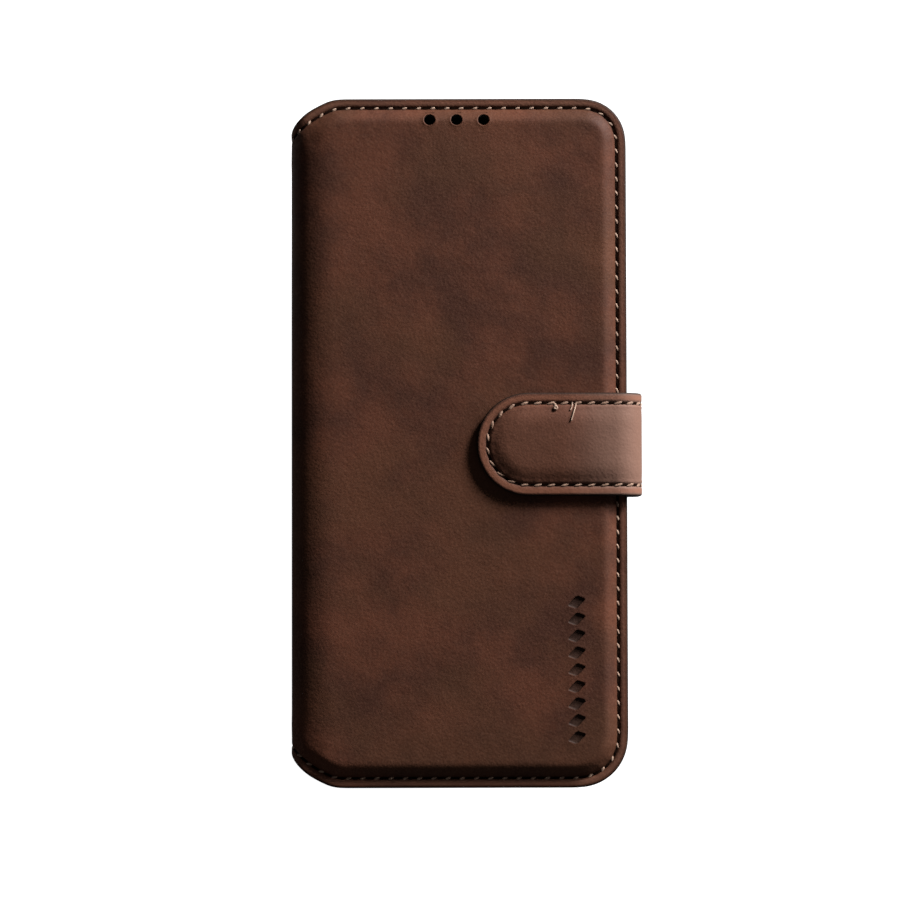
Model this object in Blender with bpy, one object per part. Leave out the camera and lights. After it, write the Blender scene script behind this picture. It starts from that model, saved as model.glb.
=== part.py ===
"""Phone wallet case with a strap closure.

The closed case lies on its back. +Z points out of the front cover, +X towards the strap and
+Y towards the top end of the phone. The origin is under the middle of the whole outline.
Sizes below are in millimetres and are turned into metres when a mesh is made.
"""

import math

import bmesh
import bpy
from mathutils import Vector

MM = 0.001

# The phone that the case is made for
PHONE_LENGTH = 161.9
PHONE_WIDTH = 73.7
PHONE_THICKNESS = 7.8
PHONE_CORNER = 9.5

# Moulded shell that holds the phone
SHELL_WALL = 1.2
SHELL_FLOOR = 1.0
PHONE_CLEARANCE = 0.15
LIP_HEIGHT = 0.7
LIP_OVERHANG = 0.9
CHARGE_PORT = (12.0, 5.0)
BUTTON_HEIGHT = 3.2
BUTTON_THICKNESS = 1.35
BUTTON_TRAVEL = 0.4
BUTTON_FIT = 0.3
DEPTH_CLEARANCE = 0.1
POWER_BUTTON = (20.5, 11.0)
VOLUME_BUTTON = (43.0, 21.0)

# Cover outline around the shell
END_MARGIN = 1.95
SPINE_MARGIN = 3.2
EDGE_MARGIN = 2.6
TOP_CORNER = 10.4
BOTTOM_CORNER = 12.0
NOTCH_RUN = 5.6
NOTCH_DROP = 2.9
SPINE_END_DROP = 8.2

# Layers, from the back outwards
LEATHER = 0.8
BOARD = 0.8
SPINE_BOARD = 0.6
LINING = 0.4
ADHESIVE = 0.2
POCKET_LEAF = 0.4
FOAM = 0.8
FILLER = 1.0
LAYER_GAP = 0.25
FOLD_RADIUS = 4.5

# Padded middle of the front cover
BORDER = 3.3
SHOULDER = 3.2
PAD_FADE = (1.5, 12.0)
LINING_INSET = 0.4
BOARD_INSET = 5.6
FOAM_INSET = 7.8
STITCH_INSET = 2.4
THREAD_WIDTH = 0.6
THREAD_HEIGHT = 0.2
THREAD_START = 2.0
SPINE_STITCH_MARGIN = 1.0
BOARD_FOLD_GAP = 2.0

# Earpiece holes and camera window
EAR_HOLE_RADIUS = 1.35
EAR_HOLE_PITCH = 6.6
EAR_HOLE_FROM_TOP = 5.45
EAR_HOLE_OFFSET = -0.4
CAMERA_SIZE = (26.0, 44.0)
CAMERA_CORNER = 6.0
CAMERA_FROM_CORNER = (3.2, 4.6)
CAMERA_STITCH = 1.6
CAMERA_ADHESIVE_GAP = 3.0
ADHESIVE_INSET = (8.0, 10.0)
ADHESIVE_CORNER = 6.0

# Pockets inside the front cover
BILL_EDGE = 34.0
CARD_LENGTH = 85.6
CARD_MARGIN = 5.0
CARD_EDGES = (-21.0, -11.0)
THUMB_NOTCH = 9.0
CARD_CORNER = 2.0
CARD_STITCH = (3.0, 2.0)

# Closure strap
STRAP_WIDTH = 25.1
STRAP_Y = -0.75
STRAP_REACH = 36.85
STRAP_CLEARANCE = 2.3
STRAP_BORDER = 3.5
STRAP_SHOULDER = 1.7
STRAP_FILLER_INSET = 6.7
STRAP_ROOT_RADIUS = 3.2
STRAP_TIP_RADIUS = 6.5
STRAP_STITCH_INSET = 2.6
STRAP_TAB_DEPTH = 11.0
TAB_STITCH_WIDTH = 3.0
STRAP_FIT = 0.4
MAGNET_MARGIN = 1.05
KEEPER_MARGIN = 1.0

ARC_STEPS = 4
CORNER_ROW = 0.75
STRAP_ROW = 0.65
FOLD_GAP = 0.15
CUT_THROUGH = 2.0


def stack(layers, start=0.0):
    """Lower and upper height of each named layer, one layer gap apart."""
    levels = {}
    for name, thickness in layers:
        levels[name] = (start, start + thickness)
        start += thickness + LAYER_GAP
    return levels


BAY_DEPTH = PHONE_THICKNESS + DEPTH_CLEARANCE
SHELL_HEIGHT = SHELL_FLOOR + BAY_DEPTH + LIP_HEIGHT
SHELL_LENGTH = PHONE_LENGTH + 2 * (PHONE_CLEARANCE + SHELL_WALL)
SHELL_WIDTH = PHONE_WIDTH + 2 * (PHONE_CLEARANCE + SHELL_WALL)
SHELL_CORNER = PHONE_CORNER + PHONE_CLEARANCE + SHELL_WALL

LEVEL = stack(
    [
        ("back_leather", LEATHER),
        ("back_board", BOARD),
        ("back_lining", LINING),
        ("adhesive", ADHESIVE),
        ("shell", SHELL_HEIGHT),
        ("card_pocket_2", POCKET_LEAF),
        ("card_pocket_1", POCKET_LEAF),
        ("bill_pocket", POCKET_LEAF),
        ("front_lining", LINING),
        ("front_board", BOARD),
        ("foam", FOAM),
        ("front_leather", LEATHER),
        ("strap_lining", LINING),
        ("strap_filler", FILLER),
        ("strap_leather", LEATHER),
    ]
)

# Outer profile of the cover, unpadded: flat back, spine, flat front
HALF_LENGTH = SHELL_LENGTH / 2 + END_MARGIN
COVER_WIDTH = SHELL_WIDTH + SPINE_MARGIN + EDGE_MARGIN
LEFT = -COVER_WIDTH / 2
RIGHT = COVER_WIDTH / 2
SHELL_X = LEFT + SPINE_MARGIN + SHELL_WIDTH / 2
COVER_HEIGHT = LEVEL["front_board"][0] + LEATHER
PAD_RISE = LEVEL["front_leather"][1] - COVER_HEIGHT
ARC_LENGTH = FOLD_RADIUS * math.pi / 2
SPINE_HALF = COVER_HEIGHT / 2 - FOLD_RADIUS
FOLD_AT = SPINE_HALF + ARC_LENGTH / 2
FLAT_FROM = SPINE_HALF + ARC_LENGTH
COVER_END = FLAT_FROM + COVER_WIDTH - FOLD_RADIUS

# Outer profile of the strap, unpadded: tab, side wall, tongue
STRAP_PLY = LEATHER + LAYER_GAP + LINING
STRAP_TOP = LEVEL["strap_filler"][0] + LEATHER
STRAP_PAD_RISE = LEVEL["strap_leather"][1] - STRAP_TOP
STRAP_OUTER = RIGHT + STRAP_CLEARANCE + STRAP_PLY
STRAP_TAB_LOW = LEVEL["back_board"][0]
TAB_END = STRAP_OUTER - STRAP_ROOT_RADIUS
TONGUE_START = STRAP_OUTER - STRAP_TIP_RADIUS
SIDE_WALL = STRAP_TOP - STRAP_TIP_RADIUS - STRAP_TAB_LOW - STRAP_ROOT_RADIUS
TAB_LENGTH = TAB_END - RIGHT + STRAP_TAB_DEPTH
ROOT_ARC = STRAP_ROOT_RADIUS * math.pi / 2
TIP_ARC = STRAP_TIP_RADIUS * math.pi / 2
ROOT_FOLD_AT = TAB_LENGTH + ROOT_ARC / 2
TIP_FOLD_AT = TAB_LENGTH + ROOT_ARC + SIDE_WALL + TIP_ARC / 2
TONGUE_FROM = TAB_LENGTH + ROOT_ARC + SIDE_WALL + TIP_ARC
TONGUE_LENGTH = TONGUE_START - (RIGHT - STRAP_REACH)
STRAP_END = TONGUE_FROM + TONGUE_LENGTH
MAGNET_RADIUS = STRAP_WIDTH / 2 - STRAP_FILLER_INSET - MAGNET_MARGIN
KEEPER_RADIUS = MAGNET_RADIUS + KEEPER_MARGIN

# The whole outline is centred on the origin
SHIFT_X = -(STRAP_OUTER + LEFT) / 2


def smooth_step(value, low, high):
    share = min(max((value - low) / (high - low), 0.0), 1.0)
    return share * share * (3 - 2 * share)


def cover_point(along):
    """Place and outward normal at a distance along the cover's outer profile.

    The distance is measured from the middle of the spine, positive over the front.
    """
    side = 1 if along >= 0 else -1
    reach = abs(along)
    if reach <= SPINE_HALF:
        x, rise, normal = LEFT, reach, (-1.0, 0.0)
    elif reach <= FLAT_FROM:
        angle = (reach - SPINE_HALF) / FOLD_RADIUS
        x = LEFT + FOLD_RADIUS * (1 - math.cos(angle))
        rise = SPINE_HALF + FOLD_RADIUS * math.sin(angle)
        normal = (-math.cos(angle), math.sin(angle))
    else:
        x = LEFT + FOLD_RADIUS + reach - FLAT_FROM
        rise = COVER_HEIGHT / 2
        normal = (0.0, 1.0)
    return x, COVER_HEIGHT / 2 + side * rise, normal[0], side * normal[1]


def cover_edge(reach, side, inset=0.0):
    """How far the cover's outline lies from its middle line, at a distance along the profile."""
    corner = TOP_CORNER if side > 0 else BOTTOM_CORNER
    end = HALF_LENGTH - inset
    fold_drop = SPINE_END_DROP - NOTCH_DROP
    for start_y, start, run, drop in (
        (HALF_LENGTH, FLAT_FROM + NOTCH_RUN, NOTCH_RUN, NOTCH_DROP),
        (HALF_LENGTH - NOTCH_DROP, FLAT_FROM, ARC_LENGTH, fold_drop),
    ):
        slope = drop / run
        line = start_y - slope * (start - reach)
        end = min(end, line - inset * math.hypot(1, slope))
    end = max(end, HALF_LENGTH - SPINE_END_DROP - inset)
    past = reach - (COVER_END - corner)
    if past > 0:
        radius = corner - inset
        end = HALF_LENGTH - corner + math.sqrt(max(radius * radius - past * past, 0.0))
    return end


def cover_edge_distance(reach, y):
    """How far a point of the front cover lies inside its outline."""
    side = 1 if y >= 0 else -1
    corner = TOP_CORNER if side > 0 else BOTTOM_CORNER
    past_x = reach - (COVER_END - corner)
    past_y = abs(y) - (HALF_LENGTH - corner)
    if past_x > 0 and past_y > 0:
        return corner - math.hypot(past_x, past_y)
    slope = NOTCH_DROP / NOTCH_RUN
    to_end = cover_edge(reach, side) - abs(y)
    if reach < FLAT_FROM + NOTCH_RUN:
        to_end /= math.hypot(1, slope)
    return min(to_end, COVER_END - reach)


def cover_pad(along, y):
    """How far the padding lifts the front leather at a point."""
    if along <= 0:
        return 0.0
    fade = smooth_step(along - SPINE_HALF, *PAD_FADE)
    inside = (cover_edge_distance(along, y) - BORDER) / SHOULDER
    return PAD_RISE * fade * min(max(inside, 0.0), 1.0)


def cover_rows(along):
    """Rows of points across the cover, from the top end to the bottom end."""
    corner = max(TOP_CORNER, BOTTOM_CORNER)
    insets = (0.0, BORDER, BORDER + SHOULDER, CORNER_ROW * corner, corner)
    upper = cover_edge(abs(along), 1)
    lower = cover_edge(abs(along), -1)
    return [upper - d for d in insets] + [0.0] + [d - lower for d in reversed(insets)]


def strap_point(along):
    """Place and outward normal at a distance along the strap's outer profile."""
    if along <= TAB_LENGTH:
        return RIGHT - STRAP_TAB_DEPTH + along, STRAP_TAB_LOW, 0.0, -1.0
    along -= TAB_LENGTH
    if along <= ROOT_ARC:
        angle = along / STRAP_ROOT_RADIUS
        out, down = math.sin(angle), math.cos(angle)
        z = STRAP_TAB_LOW + STRAP_ROOT_RADIUS * (1 - down)
        return TAB_END + STRAP_ROOT_RADIUS * out, z, out, -down
    along -= ROOT_ARC
    if along <= SIDE_WALL:
        return STRAP_OUTER, STRAP_TAB_LOW + STRAP_ROOT_RADIUS + along, 1.0, 0.0
    along -= SIDE_WALL
    if along <= TIP_ARC:
        angle = along / STRAP_TIP_RADIUS
        out, up = math.cos(angle), math.sin(angle)
        z = STRAP_TOP - STRAP_TIP_RADIUS * (1 - up)
        return TONGUE_START + STRAP_TIP_RADIUS * out, z, out, up
    return TONGUE_START - (along - TIP_ARC), STRAP_TOP, 0.0, 1.0


def strap_half(along, inset=0.0):
    """Half width of the strap, with its round end."""
    radius = STRAP_WIDTH / 2
    past = along - (STRAP_END - radius)
    if past <= 0:
        return radius - inset
    return math.sqrt(max((radius - inset) ** 2 - past * past, 0.0))


def strap_pad(along, y):
    """How far the filler lifts the tongue's leather at a point."""
    radius = STRAP_WIDTH / 2
    past = max(along - (STRAP_END - radius), 0.0)
    inside = (radius - math.hypot(past, y) - STRAP_BORDER) / STRAP_SHOULDER
    fade = smooth_step(along, TONGUE_FROM, TONGUE_FROM + STRAP_SHOULDER)
    return STRAP_PAD_RISE * fade * min(max(inside, 0.0), 1.0)


def strap_rows(along):
    radius = STRAP_WIDTH / 2
    half = strap_half(along)
    insets = (0.0, STRAP_BORDER, STRAP_BORDER + STRAP_SHOULDER, STRAP_ROW * radius)
    shares = [1 - inset / radius for inset in insets]
    return [half * s for s in shares] + [0.0] + [-half * s for s in reversed(shares)]


def make_material(name, color, roughness, metallic=0.0):
    material = bpy.data.materials.new(name)
    material.use_nodes = True
    shader = material.node_tree.nodes["Principled BSDF"]
    shader.inputs["Base Color"].default_value = (*color, 1.0)
    shader.inputs["Roughness"].default_value = roughness
    shader.inputs["Metallic"].default_value = metallic
    return material


def make_pivot(name, x, z, parent=None):
    """An empty on a fold axis. It is placed in the cover's own millimetres."""
    pivot = bpy.data.objects.new(name, None)
    bpy.context.collection.objects.link(pivot)
    spot = Vector(((x + SHIFT_X) * MM, 0.0, z * MM))
    pivot["spot"] = spot
    if parent:
        pivot.parent = parent
        spot = spot - Vector(parent["spot"])
    pivot.location = spot
    return pivot


def add_object(name, mesh_parts, pivot, material=None, shift_y=0.0):
    """Make an object from a bmesh in the cover's millimetres and hang it on a pivot."""
    spot = Vector(pivot["spot"])
    for vert in mesh_parts.verts:
        x, y, z = vert.co
        vert.co = Vector(((x + SHIFT_X) * MM, (y + shift_y) * MM, z * MM)) - spot
    bmesh.ops.recalc_face_normals(mesh_parts, faces=mesh_parts.faces)
    mesh = bpy.data.meshes.new(name)
    mesh_parts.to_mesh(mesh)
    mesh_parts.free()
    obj = bpy.data.objects.new(name, mesh)
    bpy.context.collection.objects.link(obj)
    obj.parent = pivot
    if material:
        mesh.materials.append(material)
    return obj


def add_cutter(name, mesh_parts, pivot, shift_y=0.0):
    cutter = add_object(name, mesh_parts, pivot, shift_y=shift_y)
    cutter.hide_render = True
    cutter.display_type = "WIRE"
    return cutter


def cut(obj, *cutters):
    for cutter in cutters:
        boolean = obj.modifiers.new(cutter.name, "BOOLEAN")
        boolean.operation = "DIFFERENCE"
        boolean.solver = "EXACT"
        boolean.object = cutter


def slab(outer, inner):
    """A closed solid between two grids of points with the same rows and columns."""
    bm = bmesh.new()
    rows, columns = len(outer), len(outer[0])
    top = [[bm.verts.new(p) for p in row] for row in outer]
    low = [[bm.verts.new(p) for p in row] for row in inner]
    for i in range(rows - 1):
        for j in range(columns - 1):
            bm.faces.new((top[i][j], top[i + 1][j], top[i + 1][j + 1], top[i][j + 1]))
            bm.faces.new((low[i][j], low[i][j + 1], low[i + 1][j + 1], low[i + 1][j]))
    rim = [(i, 0) for i in range(rows)]
    rim += [(rows - 1, j) for j in range(1, columns)]
    rim += [(i, columns - 1) for i in range(rows - 2, -1, -1)]
    rim += [(0, j) for j in range(columns - 2, 0, -1)]
    for (a, b), (c, d) in zip(rim, rim[1:] + rim[:1]):
        bm.faces.new((top[a][b], low[a][b], low[c][d], top[c][d]))
    bmesh.ops.triangulate(bm, faces=[f for f in bm.faces if len(f.verts) > 3])
    return bm


def wrap(stations, rows, point, pad, thickness, depth=0.0):
    """A bent sheet that follows an outer profile, at a depth below it."""
    outer, inner = [], []
    for along in stations:
        x, z, nx, nz = point(along)
        ys = rows(along)
        lifts = [pad(along, y) - depth for y in ys]
        outer.append([(x + nx * h, y, z + nz * h) for y, h in zip(ys, lifts)])
        lifts = [h - thickness for h in lifts]
        inner.append([(x + nx * h, y, z + nz * h) for y, h in zip(ys, lifts)])
    return slab(outer, inner)


def prism(outline, low, high):
    """A flat plate from an outline of x, y points."""
    bm = bmesh.new()
    bottom = [bm.verts.new((x, y, low)) for x, y in outline]
    top = [bm.verts.new((x, y, high)) for x, y in outline]
    bm.faces.new(list(reversed(bottom)))
    bm.faces.new(top)
    count = len(outline)
    for i in range(count):
        j = (i + 1) % count
        bm.faces.new((bottom[i], bottom[j], top[j], top[i]))
    return bm


def box(low, high):
    outline = [(low[0], low[1]), (high[0], low[1]), (high[0], high[1]), (low[0], high[1])]
    return prism(outline, low[2], high[2])


def round_rectangle(center, size, radius, steps=ARC_STEPS):
    """Outline of a rectangle with round corners, anticlockwise."""
    points = []
    for turn, (sx, sy) in enumerate(((1, 1), (-1, 1), (-1, -1), (1, -1))):
        cx = center[0] + sx * (size[0] / 2 - radius)
        cy = center[1] + sy * (size[1] / 2 - radius)
        for step in range(steps + 1):
            angle = (turn + step / steps) * math.pi / 2
            points.append((cx + radius * math.cos(angle), cy + radius * math.sin(angle)))
    return points


def disc(center, radius, sides=16):
    points = []
    for side in range(sides):
        angle = 2 * math.pi * side / sides
        points.append((center[0] + radius * math.cos(angle), center[1] + radius * math.sin(angle)))
    return points


def reach_of(x):
    """Distance along the profile of a point on the flat of the cover."""
    return FLAT_FROM + x - LEFT - FOLD_RADIUS


def edge_line(inset, left, side):
    """The cover's outline at an inset, from the spine side to the middle of the free edge."""
    corner = TOP_CORNER if side > 0 else BOTTOM_CORNER
    radius = corner - inset
    points = [(left, cover_edge(reach_of(left), side, inset))]
    for bend in (LEFT + FOLD_RADIUS, LEFT + FOLD_RADIUS + NOTCH_RUN):
        if bend > left + 1.0:
            points.append((bend, cover_edge(reach_of(bend), side, inset)))
    for step in range(ARC_STEPS + 1):
        angle = math.pi / 2 * (1 - step / ARC_STEPS)
        x = RIGHT - corner + radius * math.cos(angle)
        points.append((x, HALF_LENGTH - corner + radius * math.sin(angle)))
    return [(x, side * y) for x, y in points]


def cover_outline(inset, left):
    return edge_line(inset, left, -1) + list(reversed(edge_line(inset, left, 1)))


def ribbon(path, low, high, closed=False):
    """A flat thread of the usual width along a path of x, y points."""
    count = len(path)
    left, right = [], []
    for i, (x, y) in enumerate(path):
        before = path[i - 1] if i or closed else path[i]
        after = path[(i + 1) % count] if i < count - 1 or closed else path[i]
        run = Vector((after[0] - before[0], after[1] - before[1])).normalized()
        half = THREAD_WIDTH / 2
        left.append((x - run.y * half, y + run.x * half))
        right.append((x + run.y * half, y - run.x * half))
    bm = bmesh.new()
    rings = []
    for (ax, ay), (bx, by) in zip(left, right):
        corners = ((ax, ay, low), (bx, by, low), (bx, by, high), (ax, ay, high))
        rings.append([bm.verts.new(p) for p in corners])
    pairs = list(zip(rings, rings[1:] + rings[:1])) if closed else list(zip(rings, rings[1:]))
    for a, b in pairs:
        for i in range(4):
            j = (i + 1) % 4
            bm.faces.new((a[i], a[j], b[j], b[i]))
    if not closed:
        bm.faces.new(list(reversed(rings[0])))
        bm.faces.new(rings[-1])
    return bm


def turn_flat_to_wall(bm, x):
    """Stand a ribbon made in x, y up against a wall at x: its x becomes height."""
    for vert in bm.verts:
        height, y, out = vert.co
        vert.co = Vector((x + out, y, height))
    return bm


def join(first, *others):
    """Put several separate solids into one bmesh."""
    for other in others:
        mesh = bpy.data.meshes.new("joined")
        other.to_mesh(mesh)
        other.free()
        first.from_mesh(mesh)
        bpy.data.meshes.remove(mesh)
    return first


def arc_stations(start, length, steps=ARC_STEPS):
    return [start + length * i / steps for i in range(steps + 1)]


def cover_stations():
    """Distances along the profile for the flat of a cover, from the fold to the free edge."""
    corner = max(TOP_CORNER, BOTTOM_CORNER)
    stations = [FLAT_FROM + NOTCH_RUN / 2, FLAT_FROM + NOTCH_RUN]
    stations += [(FLAT_FROM + NOTCH_RUN + COVER_END - corner) / 2]
    stations += [COVER_END - corner + corner * math.sin(math.radians(a)) for a in (0, 10, 22, 35)]
    stations += [COVER_END - BORDER, COVER_END - BORDER / 4, COVER_END]
    return stations


def camera_outline(grow=0.0):
    """The camera window, placed from the phone's top corner."""
    right = SHELL_X + PHONE_WIDTH / 2 - CAMERA_FROM_CORNER[0]
    top = PHONE_LENGTH / 2 - CAMERA_FROM_CORNER[1]
    center = (right - CAMERA_SIZE[0] / 2, top - CAMERA_SIZE[1] / 2)
    size = (CAMERA_SIZE[0] + 2 * grow, CAMERA_SIZE[1] + 2 * grow)
    return round_rectangle(center, size, CAMERA_CORNER + grow)


def build_back_half(pivot, colors):
    opening = prism(camera_outline(), -CUT_THROUGH, LEVEL["shell"][0] + BAY_DEPTH / 2)
    camera = add_cutter("camera_cutter", opening, pivot)
    fold = arc_stations(-FOLD_AT - FOLD_GAP, -ARC_LENGTH / 2 + FOLD_GAP, ARC_STEPS - 1)
    stations = fold + [-s for s in cover_stations()]
    leather = wrap(stations, cover_rows, cover_point, cover_pad, LEATHER)
    cut(add_object("back_leather", leather, pivot, colors["leather"]), camera)

    board_left = LEFT + FOLD_RADIUS + 2 * LAYER_GAP
    board = prism(cover_outline(BOARD_INSET, board_left), *LEVEL["back_board"])
    board = add_object("back_board", board, pivot, colors["board"])
    tab_room = STRAP_WIDTH / 2 + STRAP_FIT
    low, high = LEVEL["back_board"]
    room_left = RIGHT - STRAP_TAB_DEPTH - STRAP_FIT
    room = box((room_left, -tab_room, low - CUT_THROUGH), (RIGHT, tab_room, high + CUT_THROUGH))
    cut(board, camera, add_cutter("strap_tab_cutter", room, pivot, STRAP_Y))

    lining_left = lining_start(LEVEL["back_lining"][0])
    lining = prism(cover_outline(LINING_INSET, lining_left), *LEVEL["back_lining"])
    cut(add_object("back_lining", lining, pivot, colors["lining"]), camera)

    thread_low = LEVEL["back_lining"][1] + LAYER_GAP
    thread_high = thread_low + THREAD_HEIGHT
    thread_left = lining_left + THREAD_START
    perimeter = cover_outline(STITCH_INSET, thread_left)
    add_object("back_thread", ribbon(perimeter, thread_low, thread_high), pivot, colors["thread"])

    window = ribbon(camera_outline(CAMERA_STITCH), thread_low, thread_high, closed=True)
    add_object("camera_window_thread", window, pivot, colors["thread"])

    low, high = LEVEL["adhesive"]
    size = (SHELL_WIDTH - 2 * ADHESIVE_INSET[0], SHELL_LENGTH - 2 * ADHESIVE_INSET[1])
    pad = prism(round_rectangle((SHELL_X, 0), size, ADHESIVE_CORNER), low, high)
    pad = add_object("shell_adhesive_pad", pad, pivot, colors["adhesive"])
    window_room = prism(camera_outline(CAMERA_ADHESIVE_GAP), low - CUT_THROUGH, high + CUT_THROUGH)
    cut(pad, add_cutter("adhesive_window_cutter", window_room, pivot))
    build_shell(pivot, camera, colors)

    tab_stations = [0.0, TAB_LENGTH] + arc_stations(TAB_LENGTH, ROOT_ARC / 2 - FOLD_GAP, ARC_STEPS - 1)[1:]
    tab = wrap(tab_stations, strap_rows, strap_point, lambda along, y: 0.0, LEATHER)
    add_object("strap_root_tab", tab, pivot, colors["leather"], STRAP_Y)
    stitch_x = RIGHT - STRAP_TAB_DEPTH / 2
    half = STRAP_WIDTH / 2 - STRAP_STITCH_INSET
    loop = [(stitch_x, -half), (stitch_x, half)]
    loop += [(stitch_x - TAB_STITCH_WIDTH, half), (stitch_x - TAB_STITCH_WIDTH, -half)]
    thread = ribbon(loop, thread_low, thread_high, closed=True)
    add_object("strap_root_thread", thread, pivot, colors["thread"], STRAP_Y)


def build_shell(pivot, camera, colors):
    low, high = LEVEL["shell"]
    bay_low = low + SHELL_FLOOR
    bay_high = bay_low + BAY_DEPTH
    center = (SHELL_X, 0.0)
    body = prism(round_rectangle(center, (SHELL_WIDTH, SHELL_LENGTH), SHELL_CORNER), low, high)
    shell = add_object("phone_shell", body, pivot, colors["shell"])

    bay_size = (PHONE_WIDTH + 2 * PHONE_CLEARANCE, PHONE_LENGTH + 2 * PHONE_CLEARANCE)
    bay_corner = PHONE_CORNER + PHONE_CLEARANCE
    bay = prism(round_rectangle(center, bay_size, bay_corner), bay_low, bay_high)
    mouth_size = (bay_size[0] - 2 * LIP_OVERHANG, bay_size[1] - 2 * LIP_OVERHANG)
    mouth = prism(
        round_rectangle(center, mouth_size, bay_corner - LIP_OVERHANG), bay_high - 1.0, high + 1.0
    )

    port_low = bay_low + (PHONE_THICKNESS - CHARGE_PORT[1]) / 2
    wall_y = -SHELL_LENGTH / 2
    port = box(
        (SHELL_X - CHARGE_PORT[0] / 2, wall_y - 1, port_low),
        (SHELL_X + CHARGE_PORT[0] / 2, wall_y + SHELL_WALL + 1, port_low + CHARGE_PORT[1]),
    )
    cutters = [add_cutter("bay_cutter", bay, pivot), add_cutter("mouth_cutter", mouth, pivot)]
    cutters.append(add_cutter("charge_port_cutter", port, pivot))

    wall_x = SHELL_X + SHELL_WIDTH / 2
    mid = bay_low + PHONE_THICKNESS / 2
    for name, (center_y, length) in (("power", POWER_BUTTON), ("volume", VOLUME_BUTTON)):
        half = BUTTON_HEIGHT / 2 + BUTTON_FIT
        reach = length / 2 + BUTTON_FIT
        window = box(
            (wall_x - SHELL_WALL - 1, center_y - reach, mid - half),
            (wall_x + 1, center_y + reach, mid + half),
        )
        cutters.append(add_cutter(name + "_window_cutter", window, pivot))
        inner_x = wall_x - SHELL_WALL + BUTTON_TRAVEL + 0.05
        spot = make_pivot(name + "_button_slide", inner_x, mid, pivot)
        button = box(
            (inner_x, center_y - length / 2, mid - BUTTON_HEIGHT / 2),
            (inner_x + BUTTON_THICKNESS, center_y + length / 2, mid + BUTTON_HEIGHT / 2),
        )
        button = add_object(name + "_button_pad", button, spot, colors["shell"])
        bevel = button.modifiers.new("round_edges", "BEVEL")
        bevel.width = 0.3 * MM
        bevel.segments = 1
    cut(shell, *cutters, camera)


def inner_fold_height(x):
    """Lowest height inside the spine's lower fold that is clear of its leather, at a place x."""
    radius = FOLD_RADIUS - LEATHER
    across = LEFT + FOLD_RADIUS - x
    return FOLD_RADIUS - math.sqrt(radius * radius - across * across) + LAYER_GAP


def build_spine(pivot, colors):
    stations = arc_stations(-FOLD_AT + FOLD_GAP, ARC_LENGTH / 2 - FOLD_GAP, ARC_STEPS - 1)
    stations += [-s for s in reversed(stations)]
    leather = wrap(stations, cover_rows, cover_point, cover_pad, LEATHER)
    add_object("spine_leather", leather, pivot, colors["leather"])

    board_x = LEFT + LEATHER + LAYER_GAP
    spine_end = HALF_LENGTH - SPINE_END_DROP
    half = spine_end - STITCH_INSET - THREAD_WIDTH
    low = inner_fold_height(board_x)
    stiffener = box((board_x, -half, low), (board_x + SPINE_BOARD, half, COVER_HEIGHT - low))
    add_object("spine_stiffener", stiffener, pivot, colors["board"])

    lining_x = board_x + SPINE_BOARD + LAYER_GAP
    low = max(inner_fold_height(lining_x), LEVEL["back_lining"][1] + LAYER_GAP)
    high = COVER_HEIGHT - low
    half = spine_end - LINING_INSET
    lining = box((lining_x, -half, low), (lining_x + LINING, half, high))
    add_object("spine_lining", lining, pivot, colors["lining"])

    thread_x = lining_x + LINING + LAYER_GAP
    for name, side in (("spine_top_thread", 1), ("spine_bottom_thread", -1)):
        y = side * (spine_end - STITCH_INSET)
        ends = [(low + SPINE_STITCH_MARGIN, y), (high - SPINE_STITCH_MARGIN, y)]
        thread = ribbon(ends, 0.0, THREAD_HEIGHT)
        add_object(name, turn_flat_to_wall(thread, thread_x), pivot, colors["thread"])


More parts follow.
